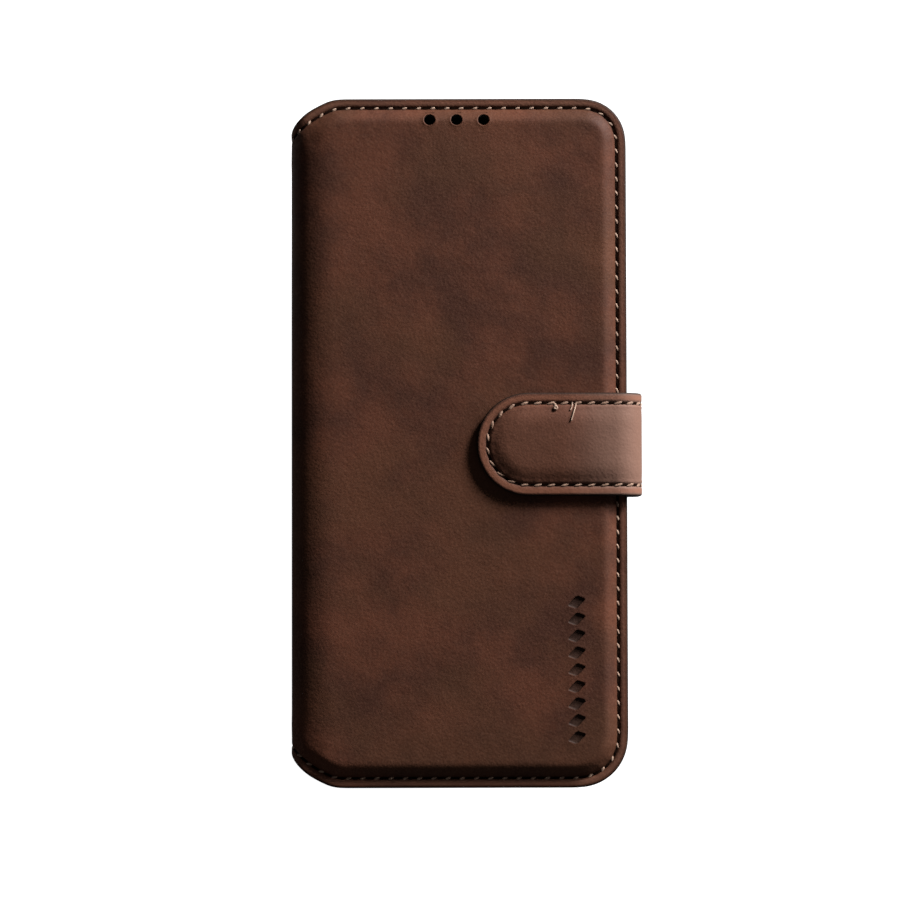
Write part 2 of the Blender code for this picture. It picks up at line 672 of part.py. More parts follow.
def build_front_cover(pivot, colors):
    top = LEVEL["front_leather"][1]
    hole_y = HALF_LENGTH - EAR_HOLE_FROM_TOP
    holes = []
    for index in (-1, 0, 1):
        ring = disc((index * EAR_HOLE_PITCH + EAR_HOLE_OFFSET, hole_y), EAR_HOLE_RADIUS, 12)
        holes.append(prism(ring, LEVEL["card_pocket_2"][0], top + CUT_THROUGH))
    earpiece = add_cutter("earpiece_cutter", join(*holes), pivot)

    fold = arc_stations(FOLD_AT + FOLD_GAP, ARC_LENGTH / 2 - FOLD_GAP, ARC_STEPS - 1)
    leather = wrap(fold + cover_stations_front(), cover_rows, cover_point, cover_pad, LEATHER)
    cut(add_object("front_leather", leather, pivot, colors["leather"]), earpiece)

    keeper_x = strap_magnet_x()
    low, high = LEVEL["foam"]
    foam_left = LEFT + FOLD_RADIUS + FOAM_INSET
    foam = prism(cover_outline(FOAM_INSET, foam_left), low, high)
    foam = add_object("front_foam", foam, pivot, colors["foam"])
    room = disc((keeper_x, 0), KEEPER_RADIUS + LAYER_GAP, 24)
    room = prism(room, low - CUT_THROUGH, high + CUT_THROUGH)
    cut(foam, add_cutter("keeper_cutter", room, pivot, STRAP_Y))
    keeper = prism(disc((keeper_x, 0), KEEPER_RADIUS, 24), low, high)
    add_object("closure_keeper", keeper, pivot, colors["steel"], STRAP_Y)

    board_left = LEFT + FOLD_RADIUS + BOARD_FOLD_GAP
    board = prism(cover_outline(BOARD_INSET, board_left), *LEVEL["front_board"])
    cut(add_object("front_board", board, pivot, colors["board"]), earpiece)

    lining_left = lining_start(COVER_HEIGHT - LEVEL["front_lining"][1])
    lining = prism(cover_outline(LINING_INSET, lining_left), *LEVEL["front_lining"])
    cut(add_object("front_lining", lining, pivot, colors["lining"]), earpiece)

    bill_left = LEFT + BILL_EDGE - 2 * FOLD_RADIUS
    bill = prism(cover_outline(LINING_INSET, bill_left), *LEVEL["bill_pocket"])
    cut(add_object("bill_pocket_panel", bill, pivot, colors["lining"]), earpiece)

    pocket_right = RIGHT - BORDER
    pocket_half = CARD_LENGTH / 2 + CARD_MARGIN
    for index, edge_x in enumerate(CARD_EDGES, 1):
        name = f"card_pocket_{index}"
        low, high = LEVEL[name]
        center = ((edge_x + pocket_right) / 2, 0)
        outline = round_rectangle(center, (pocket_right - edge_x, 2 * pocket_half), CARD_CORNER, 2)
        leaf = add_object(name, prism(outline, low, high), pivot, colors["lining"])
        thumb = prism(disc((edge_x, 0), THUMB_NOTCH, 20), low - CUT_THROUGH, high + CUT_THROUGH)
        cut(leaf, add_cutter(name + "_thumb_cutter", thumb, pivot))

    left = CARD_EDGES[1] + CARD_STITCH[0]
    right = SHELL_X + PHONE_WIDTH / 2 - CARD_STITCH[0]
    end = pocket_half - CARD_STITCH[1]
    path = [(left, -end), (right, -end), (right, end), (left, end)]
    thread_low = LEVEL["card_pocket_2"][0] - LAYER_GAP - THREAD_HEIGHT
    thread = ribbon(path, thread_low, thread_low + THREAD_HEIGHT)
    add_object("card_pocket_thread", thread, pivot, colors["thread"])

    thread_low = COVER_HEIGHT + LAYER_GAP
    perimeter = cover_outline(STITCH_INSET, LEFT + FOLD_RADIUS)
    thread = ribbon(perimeter, thread_low, thread_low + THREAD_HEIGHT)
    add_object("front_thread", thread, pivot, colors["thread"])


def cover_stations_front():
    """The flat front has extra stations where its padding rises."""
    extra = [SPINE_HALF + PAD_FADE[1], COVER_END - BORDER - SHOULDER]
    return sorted(cover_stations() + extra)


def lining_start(depth):
    """Where a lining at a depth below the outer face clears the spine's lining and the fold."""
    radius = FOLD_RADIUS - LEATHER
    rise = min(FOLD_RADIUS - depth + LAYER_GAP / 2, radius)
    clear_of_fold = LEFT + FOLD_RADIUS - math.sqrt(radius * radius - rise * rise)
    return max(LEFT + LEATHER + SPINE_BOARD + LINING + 4 * LAYER_GAP, clear_of_fold)


def strap_magnet_x():
    return RIGHT - STRAP_REACH + STRAP_WIDTH / 2


def build_strap_side(pivot, colors):
    root = arc_stations(ROOT_FOLD_AT + FOLD_GAP, ROOT_ARC / 2 - FOLD_GAP, ARC_STEPS - 1)
    tip = arc_stations(TIP_FOLD_AT - TIP_ARC / 2, TIP_ARC / 2 - FOLD_GAP, ARC_STEPS - 1)
    no_pad = lambda along, y: 0.0
    leather = wrap(root + tip, strap_rows, strap_point, no_pad, LEATHER)
    add_object("strap_side_leather", leather, pivot, colors["leather"], STRAP_Y)
    lining = wrap(root[1:] + tip[:-1], strap_rows, strap_point, no_pad, LINING, LEATHER + LAYER_GAP)
    add_object("strap_side_lining", lining, pivot, colors["lining"], STRAP_Y)
    low = STRAP_TAB_LOW + STRAP_ROOT_RADIUS
    high = STRAP_TOP - STRAP_TIP_RADIUS
    depth = STRAP_PLY + LAYER_GAP + THREAD_HEIGHT
    for name, side in (("strap_side_upper_thread", 1), ("strap_side_lower_thread", -1)):
        y = side * (STRAP_WIDTH / 2 - STRAP_STITCH_INSET)
        thread = ribbon([(low, y), (high, y)], 0.0, THREAD_HEIGHT)
        thread = turn_flat_to_wall(thread, STRAP_OUTER - depth)
        add_object(name, thread, pivot, colors["thread"], STRAP_Y)


def tongue_outline(inset, start):
    """The tongue's outline at an inset, from a distance along the strap to its round end."""
    radius = STRAP_WIDTH / 2
    center_x = RIGHT - STRAP_REACH + radius
    half = radius - inset
    points = [(strap_point(start)[0], half)]
    steps = 3 * ARC_STEPS
    for step in range(steps + 1):
        angle = math.pi / 2 + math.pi * step / steps
        points.append((center_x + half * math.cos(angle), half * math.sin(angle)))
    return points + [(points[0][0], -half)]


def build_strap_tongue(pivot, colors):
    radius = STRAP_WIDTH / 2
    arc = arc_stations(TIP_FOLD_AT + FOLD_GAP, TIP_ARC / 2 - FOLD_GAP, ARC_STEPS - 1)
    flat = [TONGUE_FROM + STRAP_SHOULDER, (TONGUE_FROM + STRAP_END - radius) / 2]
    end = [STRAP_END - radius + radius * math.sin(math.radians(a)) for a in (0, 16, 29, 42, 55, 68, 78, 86)]
    leather = wrap(arc + flat + end, strap_rows, strap_point, strap_pad, LEATHER)
    add_object("strap_tongue_leather", leather, pivot, colors["leather"], STRAP_Y)
    depth = LEATHER + LAYER_GAP
    lining = wrap(arc[1:] + flat + end, strap_rows, strap_point, lambda along, y: 0.0, LINING, depth)
    add_object("strap_tongue_lining", lining, pivot, colors["lining"], STRAP_Y)

    low, high = LEVEL["strap_filler"]
    filler_start = TONGUE_FROM + STRAP_SHOULDER + STRAP_FIT
    filler = prism(tongue_outline(STRAP_FILLER_INSET, filler_start), low, high)
    filler = add_object("strap_filler", filler, pivot, colors["foam"], STRAP_Y)
    magnet_x = strap_magnet_x()
    room = disc((magnet_x, 0), MAGNET_RADIUS + LAYER_GAP, 24)
    room = prism(room, low - CUT_THROUGH, high + CUT_THROUGH)
    cut(filler, add_cutter("magnet_cutter", room, pivot, STRAP_Y))
    magnet = prism(disc((magnet_x, 0), MAGNET_RADIUS, 24), low, high)
    add_object("strap_magnet", magnet, pivot, colors["steel"], STRAP_Y)

    path = tongue_outline(STRAP_STITCH_INSET, TONGUE_FROM)
    thread_low = STRAP_TOP + LAYER_GAP
    thread = ribbon(path, thread_low, thread_low + THREAD_HEIGHT)
    add_object("strap_tongue_thread", thread, pivot, colors["thread"], STRAP_Y)


def surface_pivot(name, along, point, lift, parent):
    """A pivot on the outer surface, at a distance along a profile."""
    x, z, nx, nz = point(along)
    return make_pivot(name, x + nx * lift, z + nz * lift, parent)


def main():
    for obj in list(bpy.data.objects):
        bpy.data.objects.remove(obj, do_unlink=True)
    colors = {
        "leather": make_material("leather", (0.070, 0.028, 0.019), 0.62),
        "lining": make_material("lining", (0.060, 0.026, 0.018), 0.75),
        "thread": make_material("thread", (0.300, 0.180, 0.120), 0.80),
        "board": make_material("board", (0.350, 0.300, 0.240), 0.90),
        "foam": make_material("foam", (0.120, 0.120, 0.120), 0.95),
        "shell": make_material("shell", (0.045, 0.022, 0.015), 0.45),
        "adhesive": make_material("adhesive", (0.700, 0.680, 0.620), 0.60),
        "steel": make_material("steel", (0.550, 0.550, 0.560), 0.30, 1.0),
    }
    back = make_pivot("back_half_frame", 0.0, 0.0)
    spine = surface_pivot("spine_pivot", -FOLD_AT, cover_point, 0.0, back)
    front = surface_pivot("front_cover_pivot", FOLD_AT, cover_point, cover_pad(FOLD_AT, 0.0), spine)
    side = surface_pivot("strap_side_pivot", ROOT_FOLD_AT, strap_point, 0.0, back)
    tongue = surface_pivot("strap_tongue_pivot", TIP_FOLD_AT, strap_point, 0.0, side)
    build_back_half(back, colors)
    build_spine(spine, colors)
    build_front_cover(front, colors)
    build_strap_side(side, colors)
    build_strap_tongue(tongue, colors)


main()
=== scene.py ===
import math

import bmesh
import bpy
import numpy as np
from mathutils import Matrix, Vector
from mathutils.geometry import delaunay_2d_cdt


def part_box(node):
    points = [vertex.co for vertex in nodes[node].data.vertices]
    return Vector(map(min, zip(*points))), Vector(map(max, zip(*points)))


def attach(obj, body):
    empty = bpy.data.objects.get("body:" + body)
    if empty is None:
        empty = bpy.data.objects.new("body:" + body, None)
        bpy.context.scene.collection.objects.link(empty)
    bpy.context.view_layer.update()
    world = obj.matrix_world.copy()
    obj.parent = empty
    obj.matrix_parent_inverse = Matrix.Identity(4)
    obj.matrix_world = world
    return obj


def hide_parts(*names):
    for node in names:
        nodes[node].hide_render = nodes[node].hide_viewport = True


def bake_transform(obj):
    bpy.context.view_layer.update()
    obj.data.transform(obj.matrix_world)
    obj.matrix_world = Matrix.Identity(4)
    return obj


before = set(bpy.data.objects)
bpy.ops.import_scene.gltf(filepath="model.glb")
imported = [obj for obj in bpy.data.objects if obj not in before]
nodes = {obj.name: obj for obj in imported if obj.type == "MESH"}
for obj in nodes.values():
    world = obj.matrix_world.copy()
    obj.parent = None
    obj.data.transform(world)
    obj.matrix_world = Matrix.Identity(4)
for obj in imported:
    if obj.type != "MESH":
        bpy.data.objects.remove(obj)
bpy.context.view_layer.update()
mm = 0.001  # every size below is in millimetres


def span(node):
    low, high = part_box(node)
    return [c / mm for c in low], [c / mm for c in high]


def placed(name, data):  # an object at the origin for a finished mesh, a light or a camera
    obj = bpy.data.objects.new(name, data)
    bpy.context.collection.objects.link(obj)
    return obj


def evaluated(obj):  # the plain mesh that an object's modifiers or curve make
    return bpy.data.meshes.new_from_object(obj.evaluated_get(bpy.context.evaluated_depsgraph_get()))


spineLow = span("spine_leather")[0]
frontHigh = span("front_leather")[1]
boardLow = span("front_board")[0]
shellLow, shellHigh = span("phone_shell")
tongueLow, tongueHigh = span("strap_tongue_leather")
sideHigh = span("strap_side_leather")[1]

cover = {
    "left": spineLow[0],
    "right": frontHigh[0],
    "halfLength": frontHigh[1],
    "leather": 0.8,
    "borderTop": boardLow[2] + 0.8,
    "padTop": frontHigh[2],
    "foldRadius": 4.5,
    "topCorner": 10.4,
    "bottomCorner": 12.0,
    "notch": (5.6, 2.9),      # how far it runs along the flat, and how far it drops
    "spineDrop": 8.2,
    "stitchInset": 2.4,
    "stitchPitch": 3.45,
    "shoulder": (2.72, 3.5),   # where the padding starts to rise inside the edge, and over what width
    "grooveDepth": 0.45,
    "pucker": 0.07,
    "padFade": (1.2, 11.0),
    "step": 0.8,
    "smooth": 1.8,
}
cover["spineHalf"] = cover["borderTop"] / 2 - cover["foldRadius"]
cover["arc"] = cover["foldRadius"] * math.pi / 2
cover["flatFrom"] = cover["spineHalf"] + cover["arc"]
cover["end"] = cover["flatFrom"] + cover["right"] - cover["left"] - cover["foldRadius"]

strap = {
    "half": (tongueHigh[1] - tongueLow[1]) / 2,
    "y": (tongueHigh[1] + tongueLow[1]) / 2,
    "outer": sideHigh[0],
    "tabLow": 1.05,
    "rootRadius": 3.2,
    "tipRadius": 6.5,
    "borderTop": 20.25,
    "padTop": tongueHigh[2],
    "tip": tongueLow[0],
    "tabFrom": cover["right"] - 11.0,
    "leather": 0.8,
    "stitchInset": 2.6,
    "stitchPitch": 3.3,
    "shoulder": (2.9, 5.0),
    "grooveDepth": 0.42,
    "pucker": 0.045,
    "rise": (0.80, 0.12),      # how much of the padding stands in its shoulder, and how much in its crown
    "seamEnd": 5.0,            # the seam pulls the leather no further in than this
    "padFade": (1.0, 10.0),
    "crownFade": (4.0, 9.0),
    "step": 0.7,
    "smooth": 0.8,
    "gridStep": 1.4,
    "rootGap": 0.3,            # between the root's leather and the side's
}
strap["tab"] = strap["outer"] - strap["rootRadius"] - strap["tabFrom"]
strap["rootArc"] = strap["rootRadius"] * math.pi / 2
strap["tipArc"] = strap["tipRadius"] * math.pi / 2
strap["wall"] = strap["borderTop"] - strap["tipRadius"] - strap["tabLow"] - strap["rootRadius"]
strap["wallFrom"] = strap["tab"] + strap["rootArc"]
strap["bendFrom"] = strap["wallFrom"] + strap["wall"]
strap["flatFrom"] = strap["bendFrom"] + strap["tipArc"]
strap["end"] = strap["flatFrom"] + strap["outer"] - strap["tipRadius"] - strap["tip"]
strap["split"] = strap["wallFrom"] + strap["wall"] / 2


def ease(value, low, width):
    share = min(max((value - low) / width, 0.0), 1.0)
    return share * share * (3 - 2 * share)


def coverPoint(u, v, h):  # u runs from the middle of the spine, positive over the front
    side = 1 if u >= 0 else -1
    reach = abs(u)
    half = cover["borderTop"] / 2
    radius = cover["foldRadius"]
    if reach <= cover["spineHalf"]:
        x, rise, nx, nz = cover["left"], reach, -1.0, 0.0
    elif reach <= cover["flatFrom"]:
        angle = (reach - cover["spineHalf"]) / radius
        x = cover["left"] + radius * (1 - math.cos(angle))
        rise = cover["spineHalf"] + radius * math.sin(angle)
        nx, nz = -math.cos(angle), math.sin(angle)
    else:
        x = cover["left"] + radius + reach - cover["flatFrom"]
        rise, nx, nz = half, 0.0, 1.0
    return (x + nx * h, v, half + side * (rise + nz * h))


def strapPoint(u, v, h):  # u runs from the hidden end of the tab to the tip
    v += strap["y"]
    if u <= strap["tab"]:
        return (strap["tabFrom"] + u, v, strap["tabLow"] - h)
    if u <= strap["wallFrom"]:
        angle = (u - strap["tab"]) / strap["rootRadius"]
        out, down = math.sin(angle), math.cos(angle)
        x = strap["outer"] - strap["rootRadius"] + (strap["rootRadius"] + h) * out
        return (x, v, strap["tabLow"] + strap["rootRadius"] - (strap["rootRadius"] + h) * down)
    if u <= strap["bendFrom"]:
        return (strap["outer"] + h, v, strap["tabLow"] + strap["rootRadius"] + u - strap["wallFrom"])
    if u <= strap["flatFrom"]:
        angle = (u - strap["bendFrom"]) / strap["tipRadius"]
        out, up = math.cos(angle), math.sin(angle)
        x = strap["outer"] - strap["tipRadius"] + (strap["tipRadius"] + h) * out
        return (x, v, strap["borderTop"] - strap["tipRadius"] + (strap["tipRadius"] + h) * up)
    return (strap["outer"] - strap["tipRadius"] - u + strap["flatFrom"], v, strap["borderTop"] + h)


def coverEdge(u, corner):  # half length of the cover at a distance from the middle of the spine
    run, drop = cover["notch"]
    end = cover["halfLength"]
    end = min(end, cover["halfLength"] - drop / run * (cover["flatFrom"] + run - u))
    slope = (cover["spineDrop"] - drop) / cover["arc"]
    end = min(end, cover["halfLength"] - drop - slope * (cover["flatFrom"] - u))
    end = max(end, cover["halfLength"] - cover["spineDrop"])
    past = u - (cover["end"] - corner)
    if past > 0:
        end = cover["halfLength"] - corner + math.sqrt(max(corner * corner - past * past, 0.0))
    return end


outlineStep = 0.25


def coverOutline():  # from the spine's middle at the bottom, round the free edge, to the spine's middle at the top
    points = []
    for side, corner in ((-1, cover["bottomCorner"]), (1, cover["topCorner"])):
        run = [(u, side * coverEdge(u, corner)) for u in np.arange(0.0, cover["end"] - corner, outlineStep)]
        for angle in np.linspace(math.pi / 2, 0.0, 60):
            u = cover["end"] - corner + corner * math.cos(angle)
            run.append((u, side * (cover["halfLength"] - corner + corner * math.sin(angle))))
        points += run if side < 0 else run[::-1]
    return points


def strapOutline(start, stop):  # the round tip only where the piece reaches the strap's end
    half = strap["half"]
    corner, count = (2.0, 20) if stop < strap["end"] else (half, 80)
    points = [(u, -half) for u in np.arange(start, stop, outlineStep) if u < stop - corner]
    for angle in np.linspace(-math.pi / 2, 0.0, count):
        points.append((stop - corner + corner * math.cos(angle), corner - half + corner * math.sin(angle)))
    return points + [(u, -v) for u, v in points[::-1]]


def blur(values, sigma, step):  # softens a line of numbers, held at both ends
    reach = max(int(3 * sigma / step), 1)
    kernel = np.exp(-0.5 * (np.arange(-reach, reach + 1) * step / sigma) ** 2)
    padded = np.concatenate([2 * values[0] - values[reach:0:-1], values, 2 * values[-1] - values[-2:-reach - 2:-1]])
    return np.convolve(padded, kernel / kernel.sum(), "valid")


def lengths(line):  # how far along a line each of its points lies
    return np.concatenate([[0.0], np.cumsum(np.hypot(*np.diff(line, axis=0).T))])


def resample(line, along, at):
    return np.column_stack([np.interp(at, along, line[:, k]) for k in (0, 1)])


def evenLine(points, step, sigma):  # evenly spaced points and their inward directions
    line = np.array(points, float)
    along = lengths(line)
    keep = np.concatenate([[True], np.diff(along) > 1e-6])
    line, along = line[keep], along[keep]
    count = int(along[-1] / step) + 1
    at = np.linspace(0.0, along[-1], count)
    line = resample(line, along, at)
    spacing = at[1]
    line = np.column_stack([blur(line[:, k], sigma, spacing) for k in (0, 1)])
    run = np.gradient(line, axis=0)
    run = np.column_stack([blur(run[:, k], sigma, spacing) for k in (0, 1)])
    run[0], run[-1] = (run[0][0], 0.0), (run[-1][0], 0.0)
    run /= np.hypot(*run.T)[:, None]
    return line, np.column_stack([-run[:, 1], run[:, 0]])


def insideLoop(points, loop):  # whether each point lies in a closed loop
    x, y = points[:, 0], points[:, 1]
    found = np.zeros(len(points), bool)
    for (ax, ay), (bx, by) in zip(loop, np.roll(loop, -1, axis=0)):
        if ay == by:
            continue
        crosses = (ay > y) != (by > y)
        found ^= crosses & (x < (bx - ax) * (y - ay) / (by - ay) + ax)
    return found


def roundBox(low, high, corner, offset=0.0, spacing=0.9):  # a closed loop, moved out by an offset
    radius = corner + offset
    centers = [((low[0] + high[0]) / 2 + sx * ((high[0] - low[0]) / 2 - corner),
                (low[1] + high[1]) / 2 + sy * ((high[1] - low[1]) / 2 - corner))
               for sx, sy in ((1, 1), (-1, 1), (-1, -1), (1, -1))]
    steps = max(int(corner * math.pi / 2 / spacing), 5)
    points = []
    for turn, (cx, cy) in enumerate(centers):
        for k in range(steps + 1):
            angle = (turn + k / steps) * math.pi / 2
            points.append((cx + radius * math.cos(angle), cy + radius * math.sin(angle)))
        nx, ny = centers[(turn + 1) % 4]
        goal = (nx + radius * math.cos(angle), ny + radius * math.sin(angle))
        last = points[-1]
        count = max(int(math.hypot(nx - cx, ny - cy) / spacing), 1)
        for k in range(1, count):
            points.append(tuple(a + (b - a) * (k / count) for a, b in zip(last, goal)))
    return np.array(points)


def circle(center, radius):
    return [(center[0] + radius * math.cos(a), center[1] + radius * math.sin(a))
            for a in np.linspace(0, 2 * math.pi, 24, endpoint=False)]


class PieceMesh:  # collects points with their leather place and paint (edge paint, painted groove shade and painted border sheen), then makes a closed mesh
    def __init__(self, place):
        self.place = place
        self.points, self.flat, self.paint, self.faces = [], [], [], []

    def add(self, u, v, h, paint=0.0):
        self.points.append(self.place(u, v, h))
        self.flat.append((u, v, h))
        self.paint.append(paint)
        return len(self.points) - 1

    def strip(self, one, two, closed=False):
        pairs = list(zip(one, one[1:], two, two[1:]))
        if closed:
            pairs.append((one[-1], one[0], two[-1], two[0]))
        for a, b, c, d in pairs:
            self.faces.append((a, b, d, c))

    def strips(self, rings, closed=False):
        for one, two in zip(rings, rings[1:]):
            self.strip(one, two, closed)

    def flatOf(self, order):  # where points lie on the flat leather
        return np.array([self.flat[i][:2] for i in order])

    def fill(self, loops, grid, keepOut):  # triangles between an outer loop and the loops inside it
        order = [i for loop in loops for i in loop] + list(grid)
        flat = self.flatOf(order)
        edges, at = [], 0
        for loop in loops:
            edges += [(at + k, at + (k + 1) % len(loop)) for k in range(len(loop))]
            at += len(loop)
        found = delaunay_2d_cdt([Vector(p) for p in flat], edges, [], 0, 1e-6)
        owner = [source[0] if source else None for source in found[3]]
        triangles = [tuple(owner[k] for k in face) for face in found[2] if all(owner[k] is not None for k in face)]
        middle = flat[np.array(triangles)].mean(axis=1)
        good = insideLoop(middle, flat[: len(loops[0])])
        for loop in keepOut:
            good &= ~insideLoop(middle, self.flatOf(loop))
        return [tuple(order[k] for k in t) for t, ok in zip(triangles, good) if ok]

    def make(self, name, material, sharp=50):
        mesh = bpy.data.meshes.new(name)
        mesh.from_pydata([tuple(c * mm for c in p) for p in self.points], [], self.faces)
        bm = bmesh.new()
        bm.from_mesh(mesh)
        bmesh.ops.recalc_face_normals(bm, faces=bm.faces)
        bm.to_mesh(mesh)
        bm.free()
        for label, kind, field, values in (("leatherPlace", "FLOAT_VECTOR", "vector", self.flat),
                                           ("edgePaintShadeAndSheen", "FLOAT", "value", self.paint)):
            mesh.attributes.new(label, kind, "POINT").data.foreach_set(field, np.array(values, np.float32).ravel())
        mesh.shade_smooth()
        mesh.set_sharp_from_angle(angle=math.radians(sharp))
        mesh.materials.append(material)
        return placed(name, mesh)


seam = {
    "ringed": 3.55,            # structured rings reach this far inside an edge
    "grooveMiddle": 2.45,
    "grooveWidth": 0.42,
    # how dark the stitched groove is painted: a painted shade
    "grooveDark": 0.75,
    "paintedSheen": 0.45,            # how much paler the border outside the groove is painted: a painted sheen
    "paintedSheenFade": (1.7, 2.25),
    "puckerIn": 1.3,           # how far inside the stitches the pucker is strongest
    "puckerWidth": 1.1,
    "rimHeight": 0.6,          # the turned edge stands at the height of the border this far in
    "rimDrop": 0.23,           # how much further than the sheet its turned edge reaches
    "underReach": 1.4,
    "paintFrom": 0.3,          # the rim is fully painted below this
}
meshing = {"grid": 0.6, "loose": 0.3, "side": 0.5, "block": 500}  # how near loose points may come to the others


def grooveShade(inset):  # above 0 the stitched groove is painted darker, a painted shade; below 0 the border outside it is painted paler, a painted sheen
    dark = seam["grooveDark"] * math.exp(-((inset - seam["grooveMiddle"]) / seam["grooveWidth"]) ** 2)
    return dark - seam["paintedSheen"] * (1.0 - ease(inset, *seam["paintedSheenFade"]))


rimProfile = ((0.62, 0.0), (0.36, -0.05), (0.15, -0.18), (0.03, -0.36), (0.0, -0.54),
              (0.03, -0.72), (0.15, -0.88), (0.36, -1.0), (0.62, -1.03))


def rimPaint(inset, rise):  # the cut edge is painted dark
    return ease(rimProfile[0][0] - inset, 0.0, 0.5) if rise > -seam["paintFrom"] else 1.0


def buildPanel(name, line, inward, place, height, sign, insets, thickness, features, material, gridStep=2.0,
               rimDrop=seam["rimDrop"]):
    piece = PieceMesh(place)
    along = lengths(line + inward * cover["stitchInset"])
    edge = line * (sign, 1)

    def ring(inset, level, rise, paint):
        return [piece.add(sign * u, v, height(sign * u, v, level, s) + rise, paint)
                for (u, v), s in zip(line + inward * inset, along)]

    def fromEdge(u, v):
        return np.hypot(edge[:, 0] - u, edge[:, 1] - v).min()

    def addLoose(points, drop=0.0):  # points that are on no ring
        return [piece.add(u, v, height(u, v, fromEdge(u, v), 0.0) - drop) for u, v in points]

    ringed = [inset for inset in insets if inset <= seam["ringed"]]
    # each ring's paint holds the painted groove shade and the painted border sheen
    rings = [ring(inset, inset, 0.0, grooveShade(inset)) for inset in ringed]
    rings += [ring(inset, seam["rimHeight"], rise * (thickness + rimDrop) / -rimProfile[-1][1], rimPaint(inset, rise))
              for inset, rise in rimProfile]
    rings += [ring(inset, seam["rimHeight"], -drop, 1.0)
              for inset, drop in ((2.0, thickness + rimDrop), (2.5, thickness))]
    rings.append(ring(ringed[0], ringed[0], -thickness, 0.0))
    piece.strips(rings)

    # the straight side where this piece meets its neighbour
    (uSplit, vFirst), (_, vLast) = piece.flatOf((rings[0][0], rings[0][-1]))
    ends = np.linspace(vLast, vFirst, int(abs(vLast - vFirst) / gridStep) + 2)[1:-1]
    topSide, lowSide = (addLoose([(uSplit, v) for v in ends], drop) for drop in (0.0, thickness))
    piece.strip([rings[0][-1]] + topSide + [rings[0][0]], [rings[-1][-1]] + lowSide + [rings[-1][0]])
    piece.faces.append(tuple(ring[0] for ring in rings))
    piece.faces.append(tuple(ring[-1] for ring in rings)[::-1])

    keepOut, lowOut = [], []
    for feature in features:
        loops = [[piece.add(u, v, height(u, v, fromEdge(u, v), 0.0) + rise, paint) for u, v in points]
                 for points, rise, paint in feature["rings"]]
        piece.strips(loops, closed=True)
        keepOut.append(loops[0])
        if feature["through"]:
            lowOut.append(loops[-1])
        else:
            lowOut.append(addLoose(piece.flatOf(loops[0]), thickness))
            piece.faces += [tuple(loops[-1]), tuple(lowOut[-1])]

    outer = piece.flatOf(rings[0] + topSide)
    us, vs = (np.arange(outer[:, k].min() + gridStep / 2, outer[:, k].max(), gridStep) for k in (0, 1))
    grid = np.array([(u, v) for u in us for v in vs if fromEdge(u, v) > insets[0] + meshing["grid"] * gridStep])
    loose = [(line + inward * inset) * (sign, 1) for inset in insets if inset > seam["ringed"]]
    nearLimit = np.concatenate([np.full(len(part), meshing["loose"]) for part in loose]
                               + [np.full(len(grid), meshing["grid"] * gridStep)])
    grid = np.concatenate(loose + [grid])
    good = insideLoop(grid, outer) & (np.abs(grid[:, 0] - uSplit) > meshing["side"])
    walls = np.concatenate([outer] + [piece.flatOf(loop) for loop in keepOut])
    for start in range(0, len(grid), meshing["block"]):
        block = slice(start, start + meshing["block"])
        gap = np.hypot(*(grid[block, None, k] - walls[None, :, k] for k in (0, 1))).min(axis=1)
        good[block] &= gap > nearLimit[block]
    for loop in keepOut:
        good &= ~insideLoop(grid, piece.flatOf(loop))
    topGrid, lowGrid = (addLoose(grid[good], drop) for drop in (0.0, thickness))
    piece.faces += piece.fill([rings[0] + topSide] + keepOut, topGrid, keepOut)
    piece.faces += piece.fill([rings[-1] + lowSide] + lowOut, lowGrid, lowOut)
    return piece.make(name, material)


def setSockets(node, values):
    for key, value in values.items():
        node.inputs[key].default_value = value


def addNode(tree, kind, sockets=None, **values):
    node = tree.nodes.new(kind)
    for key, value in values.items():
        setattr(node, key, value)
    setSockets(node, sockets or {})
    return node


def newMaterial(name, roughness, sheen=0.0):
    material = bpy.data.materials.new(name)
    material.use_nodes = True
    shader = material.node_tree.nodes["Principled BSDF"]
    setSockets(shader, {"Roughness": roughness, "Sheen Weight": sheen, "Sheen Roughness": 0.45, "IOR": 1.45})
    return material, material.node_tree, shader


def noise(tree, place, scale, detail=3.0, rough=0.55, squash=None):
    if squash:
        mapping = addNode(tree, "ShaderNodeMapping", {"Scale": squash})
        tree.links.new(place, mapping.inputs["Vector"])
        place = mapping.outputs["Vector"]
    node = addNode(tree, "ShaderNodeTexNoise", {"Scale": scale, "Detail": detail, "Roughness": rough})
    tree.links.new(place, node.inputs["Vector"])
    return node.outputs["Fac"]


def spread(tree, value, low, high, start=0.0, stop=1.0):  # stretches a value between two limits
    node = addNode(tree, "ShaderNodeMapRange", {"From Min": low, "From Max": high, "To Min": start, "To Max": stop},
                   interpolation_type="SMOOTHSTEP")
    tree.links.new(value, node.inputs["Value"])
    return node.outputs["Result"]


def mix(tree, share, one, two):
    node = addNode(tree, "ShaderNodeMix", data_type="RGBA")
    for value, socket in ((share, node.inputs[0]), (one, node.inputs[6]), (two, node.inputs[7])):
        if isinstance(value, bpy.types.NodeSocket):
            tree.links.new(value, socket)
        else:
            socket.default_value = (*value, 1.0)
    return node.outputs[2]


def bump(tree, heights, shader):  # each height is a socket, its strength and its distance in millimetres
    normal = None
    for value, strength, distance in heights:
        node = addNode(tree, "ShaderNodeBump", {"Strength": strength, "Distance": distance * mm})
        tree.links.new(value, node.inputs["Height"])
        if normal:
            tree.links.new(normal, node.inputs["Normal"])
        normal = node.outputs["Normal"]
    tree.links.new(normal, shader.inputs["Normal"])


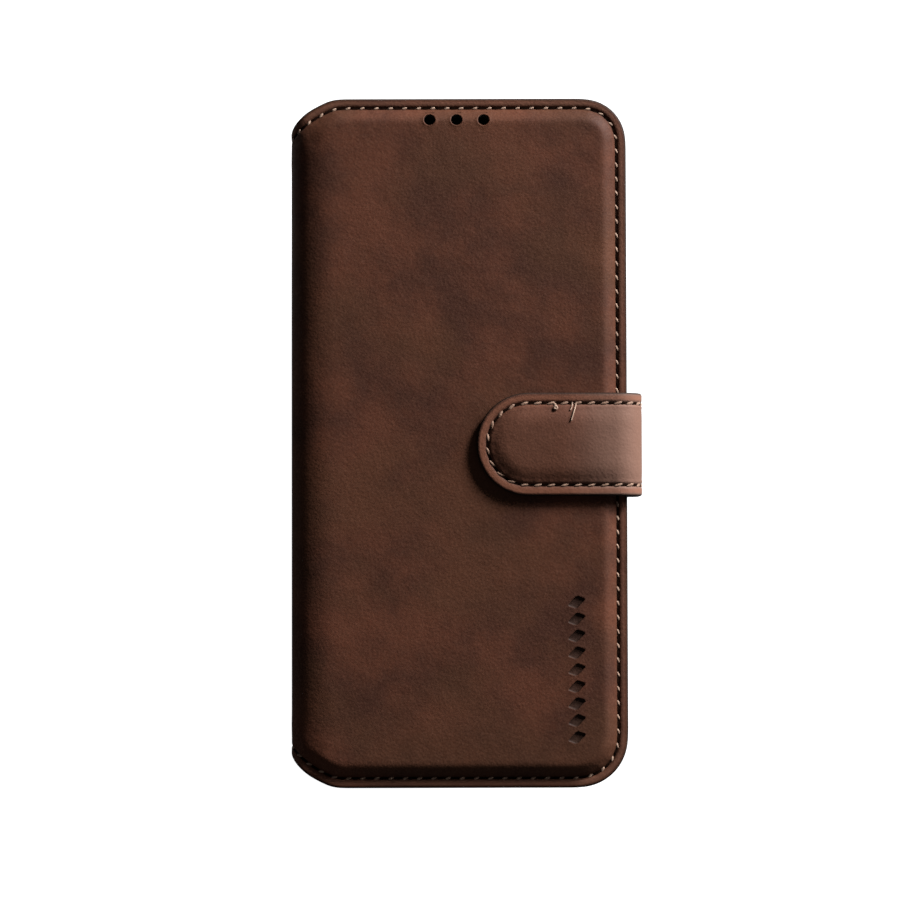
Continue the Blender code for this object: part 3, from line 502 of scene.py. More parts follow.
def leatherMaterial(name, look):
    material, tree, shader = newMaterial(name, look["roughness"], look["sheen"])
    setSockets(shader, {"Sheen Tint": (*look["sheenTint"], 1.0), "Specular IOR Level": look["specular"]})
    place = addNode(tree, "ShaderNodeAttribute", attribute_name="leatherPlace").outputs["Vector"]
    # the paint attribute: edge paint, painted groove shade above 0 and painted border sheen below 0
    edge = addNode(tree, "ShaderNodeAttribute", attribute_name="edgePaintShadeAndSheen").outputs["Fac"]
    clouds = spread(tree, noise(tree, place, look["cloudScale"], 4.0, 0.6), 0.34, 0.66)
    blotch = spread(tree, noise(tree, place, look["cloudScale"] * 0.45, 3.0, 0.5, (1.0, 1.3, 1.0)), 0.4, 0.66)
    speck = spread(tree, noise(tree, place, look["speckScale"], 2.0, 0.6), 0.3, 0.75)
    fine = spread(tree, noise(tree, place, look["speckScale"] * 0.75, 5.0, 0.75), 0.3, 0.7)
    color = mix(tree, clouds, look["dark"], look["light"])
    color = mix(tree, spread(tree, blotch, 0.0, 1.0, 0.0, 0.55), color, look["olive"])
    color = mix(tree, spread(tree, speck, 0.0, 1.0, 0.0, look["speckAmount"]), color, look["pale"])
    color = mix(tree, spread(tree, fine, 0.0, 1.0, look["fineAmount"], 0.0), color, look["deep"])
    if "bendHighlight" in look:  # painted highlight: the strap's leather is paler towards and over its bend, where the bend faces the lamps
        split = addNode(tree, "ShaderNodeSeparateXYZ")
        tree.links.new(place, split.inputs[0])
        low, high, most = look["bendHighlight"]
        color = mix(tree, spread(tree, split.outputs[0], low, high, most, 0.0), color, look["bendHighlightColor"])
    # painted sheen: below 0 the paint attribute turns the border paler
    color = mix(tree, spread(tree, edge, -1.0, 0.0, 1.0, 0.0), color, look["paintedSheen"])
    # the dark paint colour goes on the painted edges and, as painted shade, into the stitched grooves
    tree.links.new(mix(tree, edge, color, look["paint"]), shader.inputs["Base Color"])
    pebble = addNode(tree, "ShaderNodeTexVoronoi", feature="SMOOTH_F1")
    setSockets(pebble, {"Scale": look["pebbleScale"], "Smoothness": 0.7})
    tree.links.new(place, pebble.inputs["Vector"])
    bump(tree, [
        (noise(tree, place, look["speckScale"] * 0.5, 4.0, 0.65), look["bump"], 0.12),
        (pebble.outputs["Distance"], look["bump"] * 0.6, 0.15),
        (noise(tree, place, look["cloudScale"] * 3.0, 2.0, 0.5), 0.35, 0.5),
    ], shader)
    return material


coverLook = {
    "roughness": 0.62, "sheen": 0.0, "sheenTint": (0.9, 0.7, 0.62), "specular": 0.12,
    "dark": (0.043, 0.0148, 0.0088), "light": (0.088, 0.0285, 0.0150), "olive": (0.064, 0.0255, 0.0122),
    "pale": (0.16, 0.078, 0.048), "deep": (0.020, 0.0075, 0.005), "paint": (0.012, 0.007, 0.005),
    # the paler colour of the painted sheen on the border
    "paintedSheen": (0.150, 0.067, 0.044),
    "cloudScale": 0.058, "speckScale": 2.6, "speckAmount": 0.16, "fineAmount": 0.3,
    "pebbleScale": 1.5, "bump": 0.42,
}
# the strap's leather is a lighter copy of the cover's: painted light on the strap, which stands higher and nearer the
# lamps
strapLook = dict(
    coverLook, dark=(0.072, 0.0255, 0.0152), light=(0.108, 0.039, 0.0232), olive=(0.084, 0.0335, 0.0195),
    # the painted highlight over the strap's bend, with its paler colour on the next line
    paintedSheen=(0.20, 0.078, 0.045), bendHighlight=(strap["flatFrom"] - 3.0, strap["flatFrom"] + 15.0, 0.75),
    bendHighlightColor=(0.168, 0.094, 0.070))
suedeLook = dict(
    coverLook, dark=(0.040, 0.024, 0.017), light=(0.062, 0.038, 0.027), olive=(0.05, 0.032, 0.022),
    paintedSheen=(0.06, 0.037, 0.027), pale=(0.12, 0.085, 0.065), roughness=0.85, sheen=0.25, speckScale=3.4,
    pebbleScale=3.0, bump=0.25)
coverLeather = leatherMaterial("cover_leather", coverLook)
strapLeather = leatherMaterial("strap_leather", strapLook)
suede = leatherMaterial("inner_suede", suedeLook)


def plainMaterial(name, look):  # one colour with a fine pattern on Object coordinates
    material, tree, shader = newMaterial(name, look["roughness"], look.get("sheen", 0.0))
    setSockets(shader, {"Metallic": look.get("metal", 0.0), "Specular IOR Level": look.get("specular", 0.4)})
    place = addNode(tree, "ShaderNodeTexCoord").outputs["Object"]
    pattern = noise(tree, place, look["scale"] / mm, 4.0, 0.6, look.get("squash"))
    color = mix(tree, spread(tree, pattern, 0.3, 0.7), look["dark"], look["light"])
    tree.links.new(color, shader.inputs["Base Color"])
    wear = spread(tree, noise(tree, place, look["scale"] * 0.2 / mm, 3.0, 0.5), 0.3, 0.7,
                  look["roughness"] - 0.06, look["roughness"] + 0.06)
    tree.links.new(wear, shader.inputs["Roughness"])
    bump(tree, [(pattern, look["bump"], 0.08)], shader)
    return material


threadLook = {"dark": (0.15, 0.085, 0.058), "light": (0.36, 0.25, 0.185), "roughness": 0.62, "sheen": 0.1,
              "scale": 2.2, "bump": 0.6, "specular": 0.2}
thread = plainMaterial("waxed_thread", threadLook)
strapThread = plainMaterial("worn_thread", dict(threadLook, dark=(0.11, 0.058, 0.038), light=(0.30, 0.19, 0.135)))
# near-black blobs in the seams' grooves: painted shade of the needle holes
holeShade = plainMaterial("needle_hole_painted_shade", {
    "dark": (0.005, 0.0025, 0.0016), "light": (0.010, 0.005, 0.0035), "roughness": 0.9, "scale": 2.0, "bump": 0.3,
    "specular": 0.0})
moulding = plainMaterial("moulded_shell", {
    "dark": (0.012, 0.0105, 0.010), "light": (0.017, 0.015, 0.014), "roughness": 0.52, "scale": 2.6, "bump": 0.05})
board = plainMaterial("grey_board", {
    "dark": (0.14, 0.12, 0.10), "light": (0.24, 0.21, 0.18), "roughness": 0.9, "scale": 0.9, "bump": 0.3})
foam = plainMaterial("foam", {
    "dark": (0.30, 0.29, 0.27), "light": (0.46, 0.45, 0.42), "roughness": 0.95, "scale": 1.6, "bump": 0.5})
adhesive = plainMaterial("adhesive", {
    "dark": (0.30, 0.24, 0.14), "light": (0.38, 0.31, 0.19), "roughness": 0.35, "scale": 0.5, "bump": 0.1})
steel = plainMaterial("brushed_steel", {
    "dark": (0.33, 0.32, 0.31), "light": (0.56, 0.55, 0.53), "roughness": 0.34, "scale": 0.8, "bump": 0.15,
    "metal": 1.0, "squash": (1.0, 12.0, 1.0)})


def seamRelief(look, pitch, inset, s):  # the groove that the stitches pull, puckered at every stitch
    away = (inset - look["stitchInset"]) / seam["grooveWidth"]
    groove = look["grooveDepth"] * math.exp(-away * away)
    near = math.exp(-((inset - look["stitchInset"] - seam["puckerIn"]) / seam["puckerWidth"]) ** 2)
    return -groove - look["pucker"] * near * math.cos(2 * math.pi * s / pitch)


def shoulderRise(look, inset):  # 0 at the border, 1 where the padding has its full height
    start, width = look["shoulder"]
    return math.sin(min(max((inset - start) / width, 0.0), 1.0) * math.pi / 2)


def coverHeight(u, v, inset, s):  # how far the leather stands above the flat border
    fade = ease(u - cover["spineHalf"], *cover["padFade"])
    lift = (cover["padTop"] - cover["borderTop"]) * fade * shoulderRise(cover, inset)
    return lift + seamRelief(cover, coverPitch, inset, s)


def lowerHeight(u, v, inset, s):
    return seamRelief(cover, coverPitch, inset, s)


def evenPitch(line, inward, inset, pitch):  # a stitch length near the wanted one that divides the seam evenly
    stitch = line + inward * inset
    length = np.hypot(*np.diff(stitch, axis=0).T).sum()
    return length / round(length / pitch)


print("cover leather")
coverLine, coverInward = evenLine(coverOutline(), cover["step"], cover["smooth"])
coverPitch = evenPitch(coverLine, coverInward, cover["stitchInset"], cover["stitchPitch"])
seamInsets = (7.6, 6.8, 6.1, 5.5, 4.95, 4.45, 4.0, 3.55, 3.25, 3.05, 2.9, 2.78, 2.65, 2.5, 2.35, 2.2,
              2.0, 1.7, 1.2, 0.9)  # how far in from the edge the leather's rings of points lie


def throughRings(loop, thickness):  # rings that turn over an opening's edge; loop(offset) gives its points
    rings = [(loop(offset), rise * (thickness + seam["rimDrop"]) / -rimProfile[-1][1], rimPaint(offset, rise))
             for offset, rise in rimProfile]
    return rings + [(loop(seam["underReach"]), -thickness, 1.0)]


def earHole(center, radius):
    rings = [(circle(center, radius + away), rise, paint)
             for away, rise, paint in ((0.62, 0.0, 0.0), (0.42, 0.04, 0.0), (0.25, 0.07, 0.0), (0.1, 0.03, 0.1),
                                       (0.02, -0.08, 0.5), (0.0, -0.3, 1.0), (0.0, -0.8, 1.0))]
    return {"rings": rings, "through": True}


def tooledMark(center, size, lean, depth):
    def loop(grow):
        corners = ((1, 0), (0, 1), (-1, 0), (0, -1))
        points = []
        for (ax, ay), (bx, by) in zip(corners, corners[1:] + corners[:1]):
            for share in (0.12, 0.37, 0.63, 0.88):
                x = (ax + (bx - ax) * share) * (size[0] / 2 + grow)
                y = (ay + (by - ay) * share) * (size[1] / 2 + grow)
                points.append((center[0] + x, center[1] + y + lean * x))
        return points
    rings = [(loop(0.45), 0.0, 0.0), (loop(0.2), 0.02, 0.1), (loop(0.02), -0.05, 0.6),
             (loop(-0.12), -depth * 0.8, 0.85), (loop(-0.3), -depth, 0.7)]
    return {"rings": rings, "through": False}


def reachOf(x):  # distance along the cover of a place on its flat
    return cover["flatFrom"] + x - cover["left"] - cover["foldRadius"]


middle = (cover["right"] + cover["left"]) / 2
earHoles = {"x": -0.4, "pitch": 6.6, "fromTop": 5.45, "radius": 1.35, "liningRadius": 1.5}
earPlaces = [(middle + earHoles["x"] + k * earHoles["pitch"], cover["halfLength"] - earHoles["fromTop"])
             for k in (-1, 0, 1)]
marks = {"x": 28.5, "y": -55.5, "count": 9, "pitch": 4.1, "size": (4.4, 3.1), "lean": 0.35, "depth": 0.38}
frontFeatures = [earHole((reachOf(x), y), earHoles["radius"]) for x, y in earPlaces]
for k in range(marks["count"]):
    y = marks["y"] + (k - (marks["count"] - 1) / 2) * marks["pitch"]
    frontFeatures.append(tooledMark((reachOf(middle + marks["x"]), y), marks["size"], marks["lean"], marks["depth"]))
frontPanel = buildPanel("front_cover_leather", coverLine, coverInward, coverPoint, coverHeight, 1, seamInsets,
                        cover["leather"], frontFeatures, coverLeather)

window = {"low": (7.95, 32.35), "high": (33.95, 76.35), "corner": 6.0, "stitchOffset": 2.2, "grooveDepth": 0.28,
          "stitchInset": 0.0, "step": 0.5}


def windowEdge(offset, spacing=0.9):  # the camera opening, on the back's flat, where u is negative
    low, high = ((reachOf(middle + window[end][0]), window[end][1]) for end in ("low", "high"))
    return [(-u, v) for u, v in roundBox(low, high, window["corner"], offset, spacing)]


# each ring: offset, rise and paint; the stitched groove's paint is painted shade
windowGroove = ((3.4, 0.0, 0.0), (2.8, -0.03, 0.0), (2.4, -window["grooveDepth"], 0.6),
                (2.0, -window["grooveDepth"], 0.6), (1.6, -0.03, 0.0), (1.0, 0.0, 0.0))
windowRings = [(windowEdge(offset), rise, paint) for offset, rise, paint in windowGroove]
windowRings += throughRings(windowEdge, cover["leather"])
backPanel = buildPanel("back_cover_leather", coverLine, coverInward, coverPoint, lowerHeight, -1, seamInsets,
                       cover["leather"], [{"rings": windowRings, "through": True}], coverLeather)

print("strap leather")


def strapHeight(u, v, inset, s):
    before, after = strap["padFade"]
    fade = ease(u, strap["bendFrom"] - before, strap["tipArc"] + after)
    full, crown = strap["rise"]
    share = full * shoulderRise(strap, inset) + crown * ease(inset, *strap["crownFade"])
    return (strap["padTop"] - strap["borderTop"]) * fade * share + rootHeight(u, v, inset, s)


def rootHeight(u, v, inset, s):
    return seamRelief(strap, strapPitch, inset, s) if inset < strap["seamEnd"] else 0.0


tipLine, tipInward = evenLine(strapOutline(strap["split"], strap["end"]), strap["step"], strap["smooth"])
strapPitch = evenPitch(tipLine, tipInward, strap["stitchInset"], strap["stitchPitch"])
strapInsets = (7.4, 6.6, 5.9, 5.3, 4.8, 4.35, 3.95, 3.55, 3.3, 3.1, 2.9, 2.75, 2.6, 2.45, 2.25, 2.0, 1.6, 1.1, 0.85)
tonguePanel = buildPanel("strap_tongue_leather_soft", tipLine, tipInward, strapPoint, strapHeight, 1, strapInsets,
                         strap["leather"], [], strapLeather, gridStep=strap["gridStep"])
rootEnd = 2 * strap["split"]
rootOutline = [(rootEnd - u, v) for u, v in strapOutline(strap["split"], rootEnd - strap["rootGap"])]
rootLine, rootInward = evenLine(rootOutline[::-1], strap["step"], strap["smooth"])
rootInward = -rootInward if rootInward[len(rootInward) // 2][0] < 0 else rootInward
rootPanel = buildPanel("strap_root_leather_soft", rootLine, rootInward, strapPoint, rootHeight, 1, strapInsets,
                       strap["leather"], [], strapLeather, gridStep=strap["gridStep"])


def stitchTree():  # a slanted, flattened ball on every point, turned by the point's "ahead" and "up"
    tree = bpy.data.node_groups.new("stitch_row", "GeometryNodeTree")
    face = tree.interface
    face.new_socket("Geometry", in_out="INPUT", socket_type="NodeSocketGeometry")
    for label in ("Length", "Width", "Height", "Slant", "Sink"):
        face.new_socket(label, in_out="INPUT", socket_type="NodeSocketFloat")
    face.new_socket("Finish", in_out="INPUT", socket_type="NodeSocketMaterial")
    face.new_socket("Geometry", in_out="OUTPUT", socket_type="NodeSocketGeometry")
    start, end = tree.nodes.new("NodeGroupInput"), tree.nodes.new("NodeGroupOutput")
    ball = addNode(tree, "GeometryNodeMeshUVSphere", {"Segments": 8, "Rings": 6, "Radius": 0.5})
    size, move, turn = (addNode(tree, "ShaderNodeCombineXYZ") for _ in range(3))
    for label, node, axis in (("Length", size, "X"), ("Width", size, "Y"), ("Height", size, "Z"),
                              ("Sink", move, "Z"), ("Slant", turn, "Z")):
        tree.links.new(start.outputs[label], node.inputs[axis])
    shape = addNode(tree, "GeometryNodeTransform")
    aim = None
    for label, axis in (("up", "Z"), ("ahead", "X")):
        read = addNode(tree, "GeometryNodeInputNamedAttribute", {"Name": label}, data_type="FLOAT_VECTOR")
        align = addNode(tree, "FunctionNodeAlignRotationToVector", axis=axis)
        if aim:
            align.pivot_axis = "Z"
            tree.links.new(aim, align.inputs["Rotation"])
        tree.links.new(read.outputs["Attribute"], align.inputs["Vector"])
        aim = align.outputs["Rotation"]
    spots = addNode(tree, "GeometryNodeInstanceOnPoints")
    real = addNode(tree, "GeometryNodeRealizeInstances")
    finish = addNode(tree, "GeometryNodeSetMaterial")
    for source, target in (
            (ball.outputs["Mesh"], shape.inputs["Geometry"]), (size.outputs[0], shape.inputs["Scale"]),
            (turn.outputs[0], shape.inputs["Rotation"]), (move.outputs[0], shape.inputs["Translation"]),
            (start.outputs["Geometry"], spots.inputs["Points"]),
            (shape.outputs["Geometry"], spots.inputs["Instance"]),
            (aim, spots.inputs["Rotation"]), (spots.outputs["Instances"], real.inputs["Geometry"]),
            (real.outputs["Geometry"], finish.inputs["Geometry"]),
            (start.outputs["Finish"], finish.inputs["Material"]),
            (finish.outputs["Geometry"], end.inputs["Geometry"])):
        tree.links.new(source, target)
    return tree


rowTree = stitchTree()


def stitchRow(name, rows, look, finish):  # rows hold each stitch's place, its direction and its upward direction
    mesh = bpy.data.meshes.new(name)
    mesh.from_pydata([tuple(p * mm) for p, _, _ in rows], [], [])
    for label, k in (("ahead", 1), ("up", 2)):
        mesh.attributes.new(label, "FLOAT_VECTOR", "POINT").data.foreach_set(
            "vector", np.array([tuple(r[k]) for r in rows], np.float32).ravel())
    obj = placed(name, mesh)
    modifier = obj.modifiers.new("row", "NODES")
    modifier.node_group = rowTree
    for item in rowTree.interface.items_tree:
        if item.in_out == "INPUT" and item.name in look:
            modifier[item.identifier] = look[item.name] * (1.0 if item.name == "Slant" else mm)
        if item.in_out == "INPUT" and item.name == "Finish":
            modifier[item.identifier] = finish
    made = evaluated(obj)
    obj.modifiers.clear()
    obj.data = made
    made.shade_smooth()
    return obj


probe = {"along": 0.3, "ahead": 0.4, "up": 0.5}  # how far off a stitch's directions are read


def seamSpots(line, inward, inset, pitch, phase, height, place, sign=1):
    stitch = line + inward * inset
    along = lengths(stitch)
    rows = []
    for k in range(int(round(along[-1] / pitch))):
        s = (k + phase) * pitch
        u, v = (np.interp(s, along, stitch[:, i]) for i in (0, 1))
        before, after = s - probe["along"], s + probe["along"]
        du, dv = (np.interp(after, along, stitch[:, i]) - np.interp(before, along, stitch[:, i]) for i in (0, 1))
        step = probe["ahead"] / math.hypot(du, dv)
        here, there, above = (Vector(place(sign * (u + du * ahead), v + dv * ahead, height + up))
                              for ahead, up in ((0.0, 0.0), (step, 0.0), (0.0, probe["up"])))
        rows.append((here, (there - here).normalized(), (above - here).normalized()))
    return rows


stitchLook = {"Length": 1.6, "Width": 0.68, "Height": 0.6, "Slant": 0.42, "Sink": 0.08}
strapStitch = {"Length": 2.35, "Width": 0.8, "Height": 0.66, "Slant": 0.34, "Sink": 0.12}
# the size of the blobs of painted hole shade
holeShadeLook = {"Length": 2.3, "Width": 1.05, "Height": 0.34, "Slant": 0.14, "Sink": 0.06}


def stitched(name, line, inward, look, pitch, sign=1, place=coverPoint, size=stitchLook, finish=thread,
             hole=holeShadeLook):  # a seam's stitches, and between them near-black blobs, the painted shade of the needle holes
    pair = []
    for part, phase, shape, made in (("_stitches", 0.5, size, finish), ("_needle_hole_shade", 0.0, hole, holeShade)):
        rows = seamSpots(line, inward, look["stitchInset"], pitch, phase, -look["grooveDepth"], place, sign)
        pair.append(stitchRow(name + part, rows, shape, made))
    return pair


print("stitches")
frontStitch = stitched("cover_front", coverLine, coverInward, cover, coverPitch)
backStitch = stitched("cover_back", coverLine, coverInward, cover, coverPitch, -1)
tipStitch = stitched("strap_tip", tipLine, tipInward, strap, strapPitch, 1, strapPoint, strapStitch, strapThread)
rootStitch = stitched("strap_root", rootLine, rootInward, strap, strapPitch, 1, strapPoint, strapStitch, strapThread)
windowSeam = np.array(windowEdge(window["stitchOffset"], window["step"])) * (-1, 1)
windowSeam = np.vstack([windowSeam, windowSeam[:1]])
still = np.zeros_like(windowSeam)
windowPitch = evenPitch(windowSeam, still, window["stitchInset"], cover["stitchPitch"])
windowStitch = stitched("camera_opening", windowSeam, still, window, windowPitch, -1)

print("linings")
lining = {"thick": 0.4, "gap": 0.25, "step": 3.0, "insets": (7.4, 5.0, 3.4, 2.4, 2.0, 1.5, 1.0), "edge": 0.5,
          "windowGap": 0.3, "strapStep": 1.6, "strapInsets": (6.2, 4.5, 2.6, 1.8, 1.0), "strapEdge": 0.45}
innerDepth = cover["leather"] + lining["gap"] + lining["thick"]  # from the border's outer face inwards


def liningPoint(u, v, h):
    return coverPoint(u, v, -innerDepth - h)


def strapLiningPoint(u, v, h):
    return strapPoint(u, v, -innerDepth - h)


def soft(u, v, inset, s):
    return 0.0


liningEar = [earHole((reachOf(x), y), earHoles["liningRadius"]) for x, y in earPlaces]
for feature in liningEar:
    feature["rings"] = [(loop, rise if rise > -0.5 else -lining["thick"], 0.0) for loop, rise, _ in feature["rings"]]
liningWindow = [(windowEdge(lining["windowGap"] + offset), rise, 0.0)
                for offset, rise in ((2.2, 0.0), (0.5, 0.0), (0.12, -0.08), (0.0, -0.2), (0.12, -0.32), (0.5, -0.4))]
liningLine = coverLine + coverInward * lining["edge"]
frontLining, backLining = (
    buildPanel(name, liningLine, coverInward, liningPoint, soft, sign, lining["insets"], lining["thick"], features,
               suede, gridStep=lining["step"], rimDrop=0.0)
    for name, sign, features in (("front_cover_lining", 1, liningEar),
                                 ("back_cover_lining", -1, [{"rings": liningWindow, "through": True}])))
tipLining = buildPanel("strap_tongue_lining_soft", tipLine + tipInward * lining["strapEdge"], tipInward,
                       strapLiningPoint, soft, 1, lining["strapInsets"], lining["thick"], [], suede,
                       gridStep=lining["strapStep"], rimDrop=0.0)


def closedLine(points, step):  # evenly spaced points round a closed loop, with inward directions
    loop = np.array(points, float)
    loop = np.concatenate([loop, loop[:1]])
    along = lengths(loop)
    line = resample(loop, along, np.linspace(0.0, along[-1], int(along[-1] / step) + 1)[:-1])
    run = np.roll(line, -1, axis=0) - np.roll(line, 1, axis=0)
    run = run + 0.5 * (np.roll(run, 1, axis=0) + np.roll(run, -1, axis=0))
    run /= np.hypot(*run.T)[:, None]
    return line, np.column_stack([-run[:, 1], run[:, 0]])


def plainPoint(u, v, h):
    return (u, v, h)


def leaf(name, outline, low, high, material, holes=(), inset=2.0):  # a flat leaf with rounded edges
    line, inward = closedLine(outline, pockets["leafStep"])
    thick = high - low
    piece = PieceMesh(plainPoint)
    rise = [(inset, 0.0), (0.5, 0.0), (0.2, -0.04), (0.05, -0.14), (0.0, -thick / 2), (0.05, -thick + 0.14),
            (0.2, -thick + 0.04), (0.5, -thick), (inset, -thick)]
    rings = [[piece.add(u, v, high + drop, ease(0.3 - away, 0.0, 0.3)) for u, v in line + inward * away]
             for away, drop in rise]
    piece.strips(rings, closed=True)
    holeRings = [[[piece.add(u, v, z) for u, v in circle(*hole)] for z in (high, low)] for hole in holes]
    for pair in holeRings:
        piece.strips(pair, closed=True)
    for side, outer in ((0, rings[0]), (1, rings[-1])):
        keep = [pair[side] for pair in holeRings]
        piece.faces += piece.fill([outer] + keep, [], keep)
    return piece.make(name, material)


print("pockets")
pockets = {"thumb": 9.0, "corner": 2.5, "stitchPitch": 3.2, "seamCorner": 2.0, "step": 0.7, "smooth": 0.5,
           "edge": 0.9, "leafStep": 0.7, "billCut": 0.3, "billInset": 0.4}


def cardOutline(left, right, half):
    thumb, r = pockets["thumb"], pockets["corner"]
    turn = lambda start, count: np.linspace(start, 1.57, count)
    outline = [(left, -thumb), (left, -half + r)]
    outline += [(left + r - r * math.cos(a), -half + r - r * math.sin(a)) for a in turn(0.2, 7)]
    outline += [(right - r + r * math.sin(a), -half + r - r * math.cos(a)) for a in turn(0, 8)]
    outline += [(right - r + r * math.cos(a), half - r + r * math.sin(a)) for a in turn(0, 8)]
    outline += [(left + r - r * math.sin(a), half - r + r * math.cos(a)) for a in turn(0, 8)]
    outline += [(left, thumb)]
    return outline + [(left + thumb * math.cos(a), thumb * math.sin(a)) for a in np.linspace(1.5, -1.5, 24)]


pocketLeaves = []
for node in ("card_pocket_1", "card_pocket_2"):
    low, high = span(node)
    outline = cardOutline(low[0], high[0], high[1])
    pocketLeaves.append(leaf(node + "_leaf", outline, low[2], high[2], coverLeather, inset=pockets["edge"]))
low, high = span("bill_pocket_panel")
cutBack = pockets["billCut"]
billOutline = [(low[0], low[1] + cutBack), (low[0] + cutBack, low[1])]
for side, name in ((-1, "bottomCorner"), (1, "topCorner")):
    corner = cover[name] - pockets["billInset"]
    turn = [(high[0] - corner + corner * math.sin(a), side * (high[1] - corner + corner * math.cos(a)))
            for a in np.linspace(0, 1.57, 24)]
    billOutline += turn if side < 0 else turn[::-1]
billOutline += [(low[0] + cutBack, high[1]), (low[0], high[1] - cutBack)]
billHoles = [(place, earHoles["liningRadius"]) for place in earPlaces]
billLeaf = leaf("bill_pocket_leaf", billOutline, low[2], high[2], suede, billHoles)

low, high = span("card_pocket_thread")
cardSeam = [(low[0], low[1])]
bend = pockets["seamCorner"]
cardSeam += [(high[0] - bend + bend * math.sin(a), low[1] + bend - bend * math.cos(a))
             for a in np.linspace(0, 1.57, 6)]
cardSeam += [(x, -y) for x, y in cardSeam[::-1]]
cardLine, cardInward = evenLine(cardSeam, pockets["step"], pockets["smooth"])
cardLook = {"stitchInset": 0.0, "grooveDepth": 0.0}
cardPitch = evenPitch(cardLine, cardInward, cardLook["stitchInset"], pockets["stitchPitch"])
cardFace = span("card_pocket_2")[0][2]


def cardPoint(u, v, h):
    return (u, v, cardFace - h)


cardStitch = stitched(
    "card_pocket", cardLine, cardInward, cardLook, cardPitch, 1, cardPoint,
    {"Length": 1.9, "Width": 0.6, "Height": 0.36, "Slant": 0.25, "Sink": 0.02}, thread,
    {"Length": 0.9, "Width": 0.55, "Height": 0.1, "Slant": 0.25, "Sink": 0.0})

print("shell")
shell = {"wall": 1.2, "floor": 1.0, "lip": 0.9, "corner": 10.85, "buttonMid": 8.1, "port": (12.0, 5.0), "step": 1.2,
         "cutOver": 1.0, "cutInto": 1.6, "cutStep": 0.6, "windowGap": 0.3, "windowCorner": 1.7, "portCorner": 2.2}


def shellWindow(offset):
    low, high = ((middle + window[end][0], window[end][1]) for end in ("low", "high"))
    return roundBox(low, high, window["corner"], offset)


floorLow, floorTop, shellTop = shellLow[2], shellLow[2] + shell["floor"], shellHigh[2]
wall, lipIn = shell["wall"], shell["wall"] + shell["lip"]
outside = ((-3.0, 0.0), (-1.5, 0.02), (-0.7, 0.14), (-0.2, 0.5), (-0.02, 1.1), (0.0, 2.2))
lip = ((0.0, 2.2), (-0.06, 1.2), (-0.25, 0.5), (-0.6, 0.12), (-1.0, 0.0), (-1.5, 0.05), (-1.9, 0.22), (-lipIn, 0.45),
       (-lipIn + 0.02, 0.62), (-lipIn + 0.3, 0.7), (-wall - 0.1, 0.74), (-wall, 0.9))
inside = ((-wall, 1.0), (-wall - 0.12, 0.4), (-wall - 0.5, 0.08), (-3.0, 0.0))
shellProfile = ([(away, floorLow + z) for away, z in outside] + [(away, shellTop - z) for away, z in lip]
                + [(away, floorTop + z) for away, z in inside])
turned = ((0.7, 0.0), (0.3, 0.03), (0.08, 0.15), (0.0, 0.35))
windowProfile = [(away, floorTop - z) for away, z in turned] + [(away, floorLow + z) for away, z in turned[::-1]]
tray = PieceMesh(plainPoint)
trayRings = [[tray.add(u, v, z) for u, v in roundBox(shellLow, shellHigh, shell["corner"], offset, shell["step"])]
             for offset, z in shellProfile]
windowLoops = [[tray.add(u, v, z) for u, v in shellWindow(offset)] for offset, z in windowProfile]
for rings in (trayRings, windowLoops):
    tray.strips(rings, closed=True)
tray.faces += tray.fill([trayRings[-1], windowLoops[0]], [], [windowLoops[0]])
tray.faces += tray.fill([trayRings[0], windowLoops[-1]], [], [windowLoops[-1]])
trayShell = tray.make("phone_shell_moulded", moulding, 35)


def slotCutter(name, loop, axis, low, high):  # a rounded bar that cuts a slot along x or y
    bm = bmesh.new()
    ends = [[bm.verts.new([c * mm for c in ((at, a, b) if axis == "x" else (a, at, b))]) for a, b in loop]
            for at in (low, high)]
    bm.faces.new(ends[0])
    bm.faces.new(ends[1][::-1])
    for k in range(len(loop)):
        j = (k + 1) % len(loop)
        bm.faces.new((ends[0][k], ends[1][k], ends[1][j], ends[0][j]))
    bmesh.ops.recalc_face_normals(bm, faces=bm.faces)
    mesh = bpy.data.meshes.new(name)
    bm.to_mesh(mesh)
    bm.free()
    mesh.materials.append(moulding)
    return placed(name, mesh)


cutters = []
gap, over, into = shell["windowGap"], shell["cutOver"], shell["cutInto"]
for node in ("power_button_pad", "volume_button_pad"):
    low, high = span(node)
    loop = roundBox((low[1] - gap, low[2] - gap), (high[1] + gap, high[2] + gap), shell["windowCorner"], 0.0,
                    shell["cutStep"])
    cutters.append(slotCutter(node + "_cut", loop, "x", shellHigh[0] - into, shellHigh[0] + over))
portMid = (shellLow[0] + shellHigh[0]) / 2
portWide, portTall = shell["port"]
portLow, portHigh = ((portMid + side * portWide / 2, shell["buttonMid"] + side * portTall / 2) for side in (-1, 1))
loop = roundBox(portLow, portHigh, shell["portCorner"], 0.0, shell["cutStep"])
cutters.append(slotCutter("port_cut", loop, "y", shellLow[1] - over, shellLow[1] + into))
for cutter in cutters:
    cut = trayShell.modifiers.new(cutter.name, "BOOLEAN")
    cut.object = cutter
    cut.operation = "DIFFERENCE"
    cut.solver = "EXACT"
made = evaluated(trayShell)
trayShell.modifiers.clear()
trayShell.data = made
for cutter in cutters:
    bpy.data.objects.remove(cutter)


button = {"proud": 0.25, "step": 0.7, "edge": 0.05}


def buttonPad(node):
    low, high = span(node)
    piece = PieceMesh(lambda a, b, x: (x, a, b))
    out = high[0] + button["proud"]
    profile = ((-0.4, low[0]), (0.0, low[0] + 0.2), (0.0, out - 0.5), (-0.08, out - 0.22), (-0.3, out - 0.06),
               (-0.7, out))
    corner = (high[2] - low[2]) / 2 - button["edge"]
    rings = [[piece.add(a, b, x) for a, b in roundBox(low[1:], high[1:], corner, offset, button["step"])]
             for offset, x in profile]
    piece.strips(rings, closed=True)
    piece.faces += [tuple(rings[0])[::-1], tuple(rings[-1])]
    return piece.make(node + "_key", moulding, 35)


powerKey, volumeKey = buttonPad("power_button_pad"), buttonPad("volume_button_pad")

print("loose thread ends")


